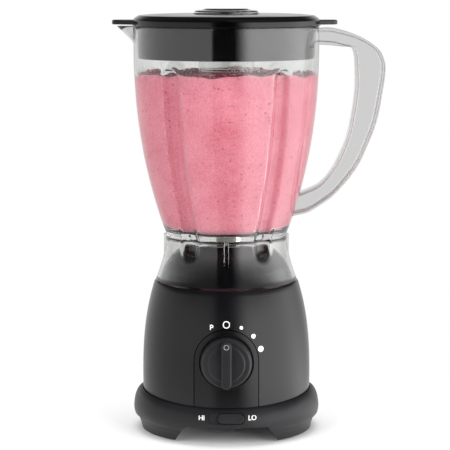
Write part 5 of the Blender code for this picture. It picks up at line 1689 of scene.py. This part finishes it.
    def ring_section(self, angle: float) -> list[tuple[float, float]]:
        """The foot ring's closed profile at an angle.

        Args:
            angle: Degrees from +X.

        Returns:
            (radius, z) points, from the lip down outside and up inside.
        """
        lip = self.lip_z(angle)
        seat = self.radius + 0.3 * MM
        foot_in, bulge_in = self.foot_radius - self.ring_wall, self.bulge_radius - self.ring_wall
        ledge, under = self.radius - 4.0 * MM, self.cover_top + 0.3 * MM
        flare = [self.ring_point(i / 14, lip) for i in range(15)]
        outline = [(seat + 0.25 * MM, lip), (flare[0][0] - 0.2 * MM, lip)] + flare[1:]
        tuck = [
            (self.bulge_radius - 0.2 * MM, self.bulge_z - 2.5 * MM),
            (self.bulge_radius - 0.9 * MM, self.bulge_z - 4.8 * MM, 1.6 * MM),
            (self.foot_radius + 2.6 * MM, self.bulge_z - 8.0 * MM, 2.4 * MM),
            (self.foot_radius + 1.0 * MM, self.bulge_z - 12.0 * MM, 6.0 * MM),
            (self.foot_radius, self.foot_lift, 0.8 * MM),
            (foot_in, self.foot_lift, 0.5 * MM),
            (foot_in + 1.6 * MM, self.bulge_z - 10.0 * MM, 4.0 * MM),
            (bulge_in - 1.3 * MM, self.bulge_z - 4.5 * MM, 4.0 * MM),
            (bulge_in - 0.4 * MM, under, 0.4 * MM),
            (ledge, under, 0.4 * MM),
            (ledge, self.ledge_z, 0.4 * MM),
            (seat, self.ledge_z, 0.3 * MM),
        ]
        return outline + fillet([outline[-1]] + tuck + [(seat, lip - 0.25 * MM)], 4, closed=False)[1:]

    def foot_ring(self) -> None:
        """Flared skirt of the base with its arches and the range switch's window."""
        ring = as_object("base_foot_ring", turned(self.ring_section, 288))
        for half, turn in ((38.0 * MM, 0.0), (10.5 * MM, 90.0)):
            reach = 2 * self.bulge_radius
            combine(ring, moved(prism(self.arch(half), -reach, reach), self.facing(0, turn)), How.CUT)
        place = self.switch_place()
        hole = prism(stadium(*self.window, 14), self.switch_face - 2 * MM, 6 * MM)
        combine(ring, moved(hole, place), How.CUT)
        half_x, half_y = self.window[0] / 2 + 2.0 * MM, self.window[1] / 2 + 1.2 * MM
        bay = block((-half_x, -half_y, -20 * MM), (half_x, half_y, self.switch_face + 0.3 * MM))
        combine(ring, moved(bay, place), How.CUT)
        # The ring's lighter colour is painted light on its flare.
        self.finish_piece(ring, RING_ABS_PAINTED_LIGHT, "base", "black_housing", ("foot_ring",), 30.0)

    def feet(self) -> None:
        """Four rubber feet with a tread groove, copied to their places by rule."""
        section = spindle(
            [
                (3.2 * MM, 0.9 * MM),
                (3.4 * MM, 0.0, 0.3 * MM),
                (6.3 * MM, 0.0, 0.7 * MM),
                (7.3 * MM, 0.9 * MM, 0.5 * MM),
                (7.3 * MM, 3.4 * MM, 0.4 * MM),
                (6.9 * MM, 3.9 * MM),
            ]
        )
        foot = as_object("foot", turned(section, 48))
        places = [(*around(self.foot_circle, angle), 0.0) for angle in self.foot_angles]
        feet = linked("rubber_feet", copies(foot, places, RUBBER))
        self.finish_piece(feet, None, "base", "rubber", self.cornered("rubber_foot"))

    def cornered(self, group: str) -> list[str]:
        """Names of the four CAD nodes of a group, one at each corner."""
        return [f"{group}_{end}_{side}" for end in ("rear", "front") for side in ("right", "left")]

    def screws(self) -> None:
        """Pan-head screws with a cross recess, in the bottom cover and in the motor's mounts."""
        for name, group in (("cover_screws", "cover_screw"), ("motor_screws", "motor_screw")):
            names = self.cornered(group)
            boxes = [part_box(node) for node in names]
            low, high = boxes[0]
            length, head = high.z - low.z, (high.x - low.x) / 2
            section = spindle(
                [
                    (0.4 * head, 0.0),
                    (0.78 * head, 0.0, 0.8 * MM),
                    (head, 1.2 * MM, 0.8 * MM),
                    (head, 2.4 * MM, 0.2 * MM),
                    (0.43 * head, 2.4 * MM, 0.2 * MM),
                    (0.43 * head, length - 1.0 * MM, 0.3 * MM),
                    (0.2 * head, length),
                ]
            )
            screw = as_object("screw", turned(section, 32))
            for x, y in ((2.2 * MM, 0.45 * MM), (0.45 * MM, 2.2 * MM)):
                combine(screw, block((-x, -y, -1 * MM), (x, y, 1.3 * MM)), How.CUT)
            places = [((a.x + b.x) / 2, (a.y + b.y) / 2, a.z) for a, b in boxes]
            made = linked(name, copies(screw, places, ZINC))
            self.tie(made, None, "base", "stainless_steel", names)

    def build(self) -> None:
        """Makes the base's outside."""
        self.housing()
        self.foot_ring()
        self.feet()
        self.screws()


# ---------------------------------------------------------------- controls


@dataclass
class Controls(Assembly):
    """Control panel, knob, range slider and the printed marks round them."""

    base: MotorBase = field(default_factory=lambda: MotorBase(Vector()))
    knob_radius: float = 22.0 * MM
    knob_disc: float = 7.0 * MM
    bar_width: float = 10.0 * MM
    bar_height: float = 7.9 * MM
    boss_radius: float = 24.0 * MM
    boss_proud: float = 0.8 * MM
    panel_foot: float = 31.0 * MM
    panel_gap: float = 0.7 * MM
    marks_circle: float = 32.0 * MM
    mark_step: float = 23.6  # degrees
    ink: float = 0.08 * MM

    def boss_front(self) -> float:
        """How far in front of the axis the knob's boss ends."""
        return self.base.housing_radius(self.base.knob_z) + self.boss_proud

    def panel(self) -> None:
        """Arched panel that follows the housing, with a flat boss behind the knob."""
        base = self.base
        top = base.knob_z + 1.2 * base.panel_half
        heights = steps(self.panel_foot - 5 * MM, top, 3.0 * MM)
        shell = [(base.housing_radius(z), z) for z in heights]
        shell += [(base.housing_radius(z) - base.wall, z) for z in reversed(heights)]
        panel = as_object("front_panel", turned(shell))
        hub = base.housing_radius(base.knob_z)
        front, back = self.boss_front(), hub - 0.6 * base.wall
        corners = [(self.boss_radius, back), (self.boss_radius, front, 0.5 * MM), (3.0 * MM, front)]
        boss = turned(spindle(corners, 4), 96)
        for vertex in boss.verts:
            if vertex.co.z < hub:
                vertex.co.z -= max(0.0, hub - math.sqrt(base.radius**2 - vertex.co.x**2))
        combine(panel, moved(boss, base.facing(base.knob_z)), How.ADD)
        outline = prism(base.panel_outline(self.panel_gap, self.panel_foot), 0, 2 * base.radius)
        combine(panel, moved(outline, base.facing(0)), How.KEEP)
        bore = tube(0.0, 3.9 * MM, 0.0, 2 * base.radius, 40)
        combine(panel, moved(bore, base.facing(base.knob_z)), How.CUT)
        self.finish_piece(panel, SATIN_ABS, "base", "black_housing", ("control_panel",))

    def knob(self) -> None:
        """Round knob with a raised inner disc and a full-width grip bar."""
        back, face = 0.5 * MM, 0.5 * MM + self.knob_disc
        rim, inner = self.knob_radius, 0.72 * self.knob_radius
        section = spindle(
            [
                (3.3 * MM, back),
                (rim - 0.4 * MM, back, 0.3 * MM),
                (rim, back + 1.0 * MM, 0.8 * MM),
                (rim - 0.8 * MM, face - 1.4 * MM, 1.2 * MM),
                (rim - 2.2 * MM, face, 1.2 * MM),
                (inner + 0.4 * MM, face + 0.1 * MM, 0.3 * MM),
                (inner, face + 0.2 * MM, 0.3 * MM),
                (inner - 0.9 * MM, face + 1.0 * MM, 0.6 * MM),
                (3.3 * MM, face + 1.4 * MM),
            ],
            4,
        )
        knob = turned(section, 160)
        turn = self.base.facing(self.base.knob_z)
        out = Matrix.Translation((0, 0, self.boss_front()))
        made = as_object("speed_knob_grip", moved(knob, out))
        outline = stadium(2 * rim - 1.6 * MM, self.bar_width, 14)
        foot, crest = back + 0.5 * self.knob_disc, face + self.bar_height
        bar = softened_prism(outline, foot, crest, 1.1 * MM, 0.8 * MM)
        combine(made, moved(bar, out @ Matrix.Rotation(math.radians(90), 4, "Z")), How.ADD)
        combine(made, moved(tube(0.0, 3.3 * MM, -1 * MM, face, 32), out), How.CUT)
        made.data.transform(turn)
        self.finish_piece(made, CONTROL_ABS, "knob", "black_control", ("speed_knob",))
        mark = tube(1.75 * MM, 2.3 * MM, 0.0, self.ink, 40)
        top = self.boss_front() + crest - 0.01 * MM
        ring = as_object("knob_pointer_mark", moved(mark, Matrix.Translation((0, 16.2 * MM, top))))
        ring.data.transform(turn)
        self.finish_piece(ring, GREY_INK, "knob", "black_control")

    def slider(self) -> None:
        """Thumb piece of the range switch."""
        face = self.base.switch_face
        length = self.base.window[0] - 8.0 * MM - 1.0 * MM
        height = self.base.window[1] - 1.0 * MM
        middle = (self.base.window[0] - length) / 2 - 0.5 * MM
        back = face + 0.3 * MM
        thumb = softened_prism(stadium(length, height, 14), back, -0.5 * MM, 0.7 * MM, 0.2 * MM)
        place = self.base.switch_place()
        made = as_object("range_slider_thumb", moved(thumb, Matrix.Translation((middle, 0, 0))))
        half_x, half_y = 2.5 * MM, 1.5 * MM
        low, high = face - 4 * MM, back + 0.5 * MM
        combine(made, block((middle - half_x, -half_y, low), (middle + half_x, half_y, high)), How.ADD)
        made.data.transform(place)
        self.finish_piece(made, CONTROL_ABS, "range_slider", "black_control", ("range_slider",))

    def marks(self) -> None:
        """Generic printed marks: P, a ring and growing dots round the knob, and HI and LO."""
        base = self.base
        shapes = [("mark_p", lettered("P", 4.6 * MM, 0.12 * MM, self.ink), 1)]
        ring = tube(2.3 * MM, 3.1 * MM, 0.0, self.ink, 48)
        shapes.append(("mark_off_ring", as_object("ring", ring), 0))
        for i, dot_radius in enumerate((1.5 * MM, 2.0 * MM, 2.6 * MM)):
            dot = tube(0.0, dot_radius, 0.0, self.ink, 32)
            shapes.append((f"mark_speed_dot_{i + 1}", as_object("dot", dot), -1 - i))
        for name, shape, place in shapes:
            x, z = around(self.marks_circle, 90.0 + place * self.mark_step)
            wrapped(shape, x, base.knob_z + z, base.housing_radius)
            shape.name = name
            self.finish_piece(shape, PAD_INK, "base", "black_housing")
        for name, text, x in (("mark_high", "HI", -21.4 * MM), ("mark_low", "LO", 22.4 * MM)):
            word = lettered(text, 4.2 * MM, 0.08 * MM, self.ink)
            wrapped(word, x, base.window_z, base.ring_radius)
            word.name = name
            self.finish_piece(word, PAD_INK, "base", "black_housing")

    def build(self) -> None:
        """Makes the controls and their marks."""
        self.panel()
        self.knob()
        self.slider()
        self.marks()


# ---------------------------------------------------------------- motor and cutter


@dataclass
class Inside(Assembly):
    """Motor, coupling and cutter. Their CAD shapes stay, with the finish of each real part."""

    def finishes(self) -> dict[str, Finish]:
        """The finish of each CAD node that keeps its shape.

        Returns:
            Finishes by node name.
        """
        pairs = {
            RUBBER: "cord_inlet_grommet cutter_gasket splash_washer",
            SATIN_ABS: "bottom_cover",
            CONTROL_ABS: "range_switch_body",
            GREY_PA: "rotary_switch_body brush_holder_front brush_holder_rear cooling_fan",
            LAMINATED: "stator_core armature_core",
            WOUND_COPPER: "field_coil_front field_coil_rear armature_winding_lower armature_winding_upper",
            CAST_ALUMINIUM: "upper_bracket lower_bracket",
            BRONZE: "upper_bearing lower_bearing",
            CARBON: "carbon_brush_front carbon_brush_rear",
            WHITE_ACETAL: "cutter_hub drive_coupling driven_socket",
            GROUND_STEEL: "lower_blade upper_blade blade_spacer",
            TURNED_STEEL: "motor_shaft knob_spindle cutter_shaft blade_cap_nut cutter_nut",
            COPPER: "commutator",
            ZINC: "through_bolt_left through_bolt_right upper_spacer_left upper_spacer_right "
            "lower_spacer_left lower_spacer_right",
        }
        return {node: finish for finish, nodes in pairs.items() for node in nodes.split()}

    def build(self, nodes: dict[str, bpy.types.Object]) -> None:
        """Dresses the CAD pieces that stay.

        Args:
            nodes: The frame's nodes by name.
        """
        for name, finish in self.finishes().items():
            for slot in nodes[name].material_slots:
                slot.material = finish.material()
            LOG.info("%s: %s", name, finish.name)


# ---------------------------------------------------------------- studio


@dataclass
class Studio:
    """Pale floor, two big panels with a dark gap between them, a top light, and the camera."""

    axis: Vector
    lens: float = 149.3
    distance: float = 1.6315
    height: float = 0.398
    pitch: float = 7.6
    aside: float = 1.2 * MM
    floor_size: float = 12.0
    left_power: float = 30.0
    right_power: float = 33.0
    top_power: float = 40.0
    left_glow: float = 0.68
    right_glow: float = 2.2
    back_glow: float = 0.75
    left_edge: tuple[float, float] = (-15.5, -19.5)  # degrees from straight ahead where a panel begins
    right_edge: tuple[float, float] = (9.0, 33.0)
    back_edge: tuple[float, float] = (95.0, 140.0)
    gap_glow: float = 0.01
    softbox_azimuth: float = 48.0
    softbox_distance: float = 1.75
    softbox_z: float = 0.75
    softbox_tilt: float = 72.0
    softbox_size: Span = (1.7, 1.5)
    top_size: float = 1.6
    top_place: Span = (0.25, 1.9)  # behind the axis, and above the floor
    sky_fade: Span = (0.15, 0.5)  # where the world darkens upwards, as the sine of the elevation
    sky_top: float = 0.1
    floor_fade: Span = (0.02, 0.3)  # metres from the middle, where the floor turns to glow
    floor_white: float = 0.86

    def lamp(self, name: str, power: float, size: Span) -> bpy.types.Object:
        """An area light that isn't seen in reflections.

        Args:
            name: The light's name.
            power: Watts.
            size: Its width and height.

        Returns:
            The light's object.
        """
        light = bpy.data.lights.new(name, "AREA")
        light.shape, light.energy = "RECTANGLE", power
        light.size, light.size_y = size
        made = linked(name, light)
        made.visible_glossy = made.visible_transmission = False
        return made

    def softbox(self, name: str, azimuth: float, power: float) -> None:
        """A standing softbox that faces the object.

        Args:
            name: The light's name.
            azimuth: Degrees from straight ahead, positive to the right.
            power: Watts.
        """
        made = self.lamp(name, power, self.softbox_size)
        turn, away = math.radians(azimuth), self.softbox_distance
        x, y = self.axis.x + away * math.sin(turn), self.axis.y - away * math.cos(turn)
        made.location = (x, y, self.softbox_z)
        made.rotation_euler = (math.radians(self.softbox_tilt), 0, turn)

    def lights(self) -> None:
        """Two softboxes at the front, one overhead and a pale world."""
        self.softbox("softbox_left", -self.softbox_azimuth, self.left_power)
        self.softbox("softbox_right", self.softbox_azimuth, self.right_power)
        top = self.lamp("top_light", self.top_power, (self.top_size, self.top_size))
        top.location = (self.axis.x, self.axis.y + self.top_place[0], self.top_place[1])
        world = bpy.data.worlds.new("studio")
        world.use_nodes = True
        tree = world.node_tree
        tree.nodes.clear()
        way = add_node(tree, "ShaderNodeTexCoord").outputs["Generated"]
        glow = self.strips(tree, way)
        high = add_node(tree, "ShaderNodeSeparateXYZ", links={0: way}).outputs["Z"]
        fade = ramp(tree, high, self.sky_fade, (1.0, self.sky_top), smooth=True)
        level = self.seen_white(tree, math_node(tree, "MULTIPLY", glow, fade))
        air = add_node(tree, "ShaderNodeBackground", {"Color": (1, 1, 1, 1)}, {"Strength": level})
        add_node(tree, "ShaderNodeOutputWorld", links={"Surface": air})
        bpy.context.scene.world = world

    def strips(self, tree: bpy.types.NodeTree, place: bpy.types.NodeSocket) -> bpy.types.NodeSocket:
        """Brightness of what stands round the object: a panel at each side in front, and a back wall.

        Args:
            tree: The tree that gets the nodes.
            place: A direction from the object, or a place round it.

        Returns:
            The brightness as a socket.
        """
        split = add_node(tree, "ShaderNodeSeparateXYZ", links={0: place})
        ahead = math_node(tree, "MULTIPLY", split.outputs["Y"], -1.0)
        turn = math_node(tree, "ARCTAN2", split.outputs["X"], ahead)
        panels = []
        for level, (near, far) in ((self.left_glow, self.left_edge), (self.right_glow, self.right_edge)):
            limits = (math.radians(near), math.radians(far))
            panels.append(ramp(tree, turn, limits, (self.gap_glow / 2, level), smooth=True))
        front = math_node(tree, "ADD", *panels)
        limits = (math.radians(self.back_edge[0]), math.radians(self.back_edge[1]))
        behind = ramp(tree, math_node(tree, "ABSOLUTE", turn), limits, smooth=True)
        settings = {"data_type": "FLOAT", 3: self.back_glow}
        return add_node(tree, "ShaderNodeMix", settings, {"Factor": behind, 2: front}).outputs[0]

    def seen_white(self, tree: bpy.types.NodeTree, glow: object) -> bpy.types.NodeSocket:
        """A brightness that the camera sees as white.

        Args:
            tree: The tree that gets the nodes.
            glow: The brightness for every other ray, as a node or socket.

        Returns:
            The brightness as a socket.
        """
        seen = add_node(tree, "ShaderNodeLightPath").outputs["Is Camera Ray"]
        white = {"data_type": "FLOAT", 3: 1.0}
        return add_node(tree, "ShaderNodeMix", white, {"Factor": seen, 2: glow}).outputs[0]

    def sheet(self, name: str, corners: Sequence[Sequence[float]], material: bpy.types.Material) -> None:
        """Adds a flat stage piece.

        Args:
            name: Its name.
            corners: Its corners, in order.
            material: What it is made of.
        """
        mesh = bpy.data.meshes.new(name)
        mesh.from_pydata([tuple(c) for c in corners], [], [tuple(range(len(corners)))])
        mesh.materials.append(material)
        linked(name, mesh)

    def floor(self) -> None:
        """Pale floor that fades into the pale background."""
        paint = bpy.data.materials.new("pale_paper_floor")
        paint.use_nodes = True
        tree = paint.node_tree
        tree.nodes.clear()
        place = add_node(tree, "ShaderNodeTexCoord").outputs["Object"]
        reach = add_node(tree, "ShaderNodeVectorMath", {"operation": "LENGTH"}, {0: place}).outputs["Value"]
        far = ramp(tree, reach, self.floor_fade, smooth=True)
        card = add_node(tree, "ShaderNodeBsdfDiffuse", {"Color": (*[self.floor_white] * 3, 1.0)})
        level = self.seen_white(tree, self.strips(tree, place))
        glow = add_node(tree, "ShaderNodeEmission", {"Color": (1, 1, 1, 1)}, {"Strength": level})
        mixed = add_node(tree, "ShaderNodeMixShader", links={0: far, 1: card, 2: glow})
        add_node(tree, "ShaderNodeOutputMaterial", links={"Surface": mixed})
        size = self.floor_size
        self.sheet("floor", [(-size, -size, 0), (size, -size, 0), (size, size, 0), (-size, size, 0)], paint)

    def camera(self) -> None:
        """A long lens in front of the object, looking slightly down."""
        lens = bpy.data.cameras.new("camera")
        lens.lens, lens.sensor_width = self.lens, 36.0
        made = linked("camera", lens)
        made.location = (self.axis.x - self.aside, self.axis.y - self.distance, self.height)
        made.rotation_euler = (math.radians(90 - self.pitch), 0, 0)
        bpy.context.scene.camera = made

    def build(self) -> None:
        """Sets up the studio."""
        self.camera()
        self.lights()
        self.floor()
        bpy.context.scene.view_settings.view_transform = "Standard"


def drive_axis() -> Vector:
    """The drive axis in the frame, from the motor shaft's box."""
    low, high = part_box("motor_shaft")
    return Vector(((low[0] + high[0]) / 2, (low[1] + high[1]) / 2, 0.0))


def main() -> None:
    """Builds every sub-assembly in order, then the studio."""
    logging.basicConfig(level=logging.INFO, format="%(message)s")
    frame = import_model()
    axis = drive_axis()
    jar = Jar(axis)
    base = MotorBase(axis, jar=jar)
    for assembly in (jar, Drink(axis, jar=jar), Lid(axis), FillerCap(axis), base, Controls(axis, base=base)):
        LOG.info("-- %s", type(assembly).__name__)
        assembly.build()
    Inside(axis).build(frame["nodes"])
    Studio(axis).build()


if __name__ == "__main__":
    main()
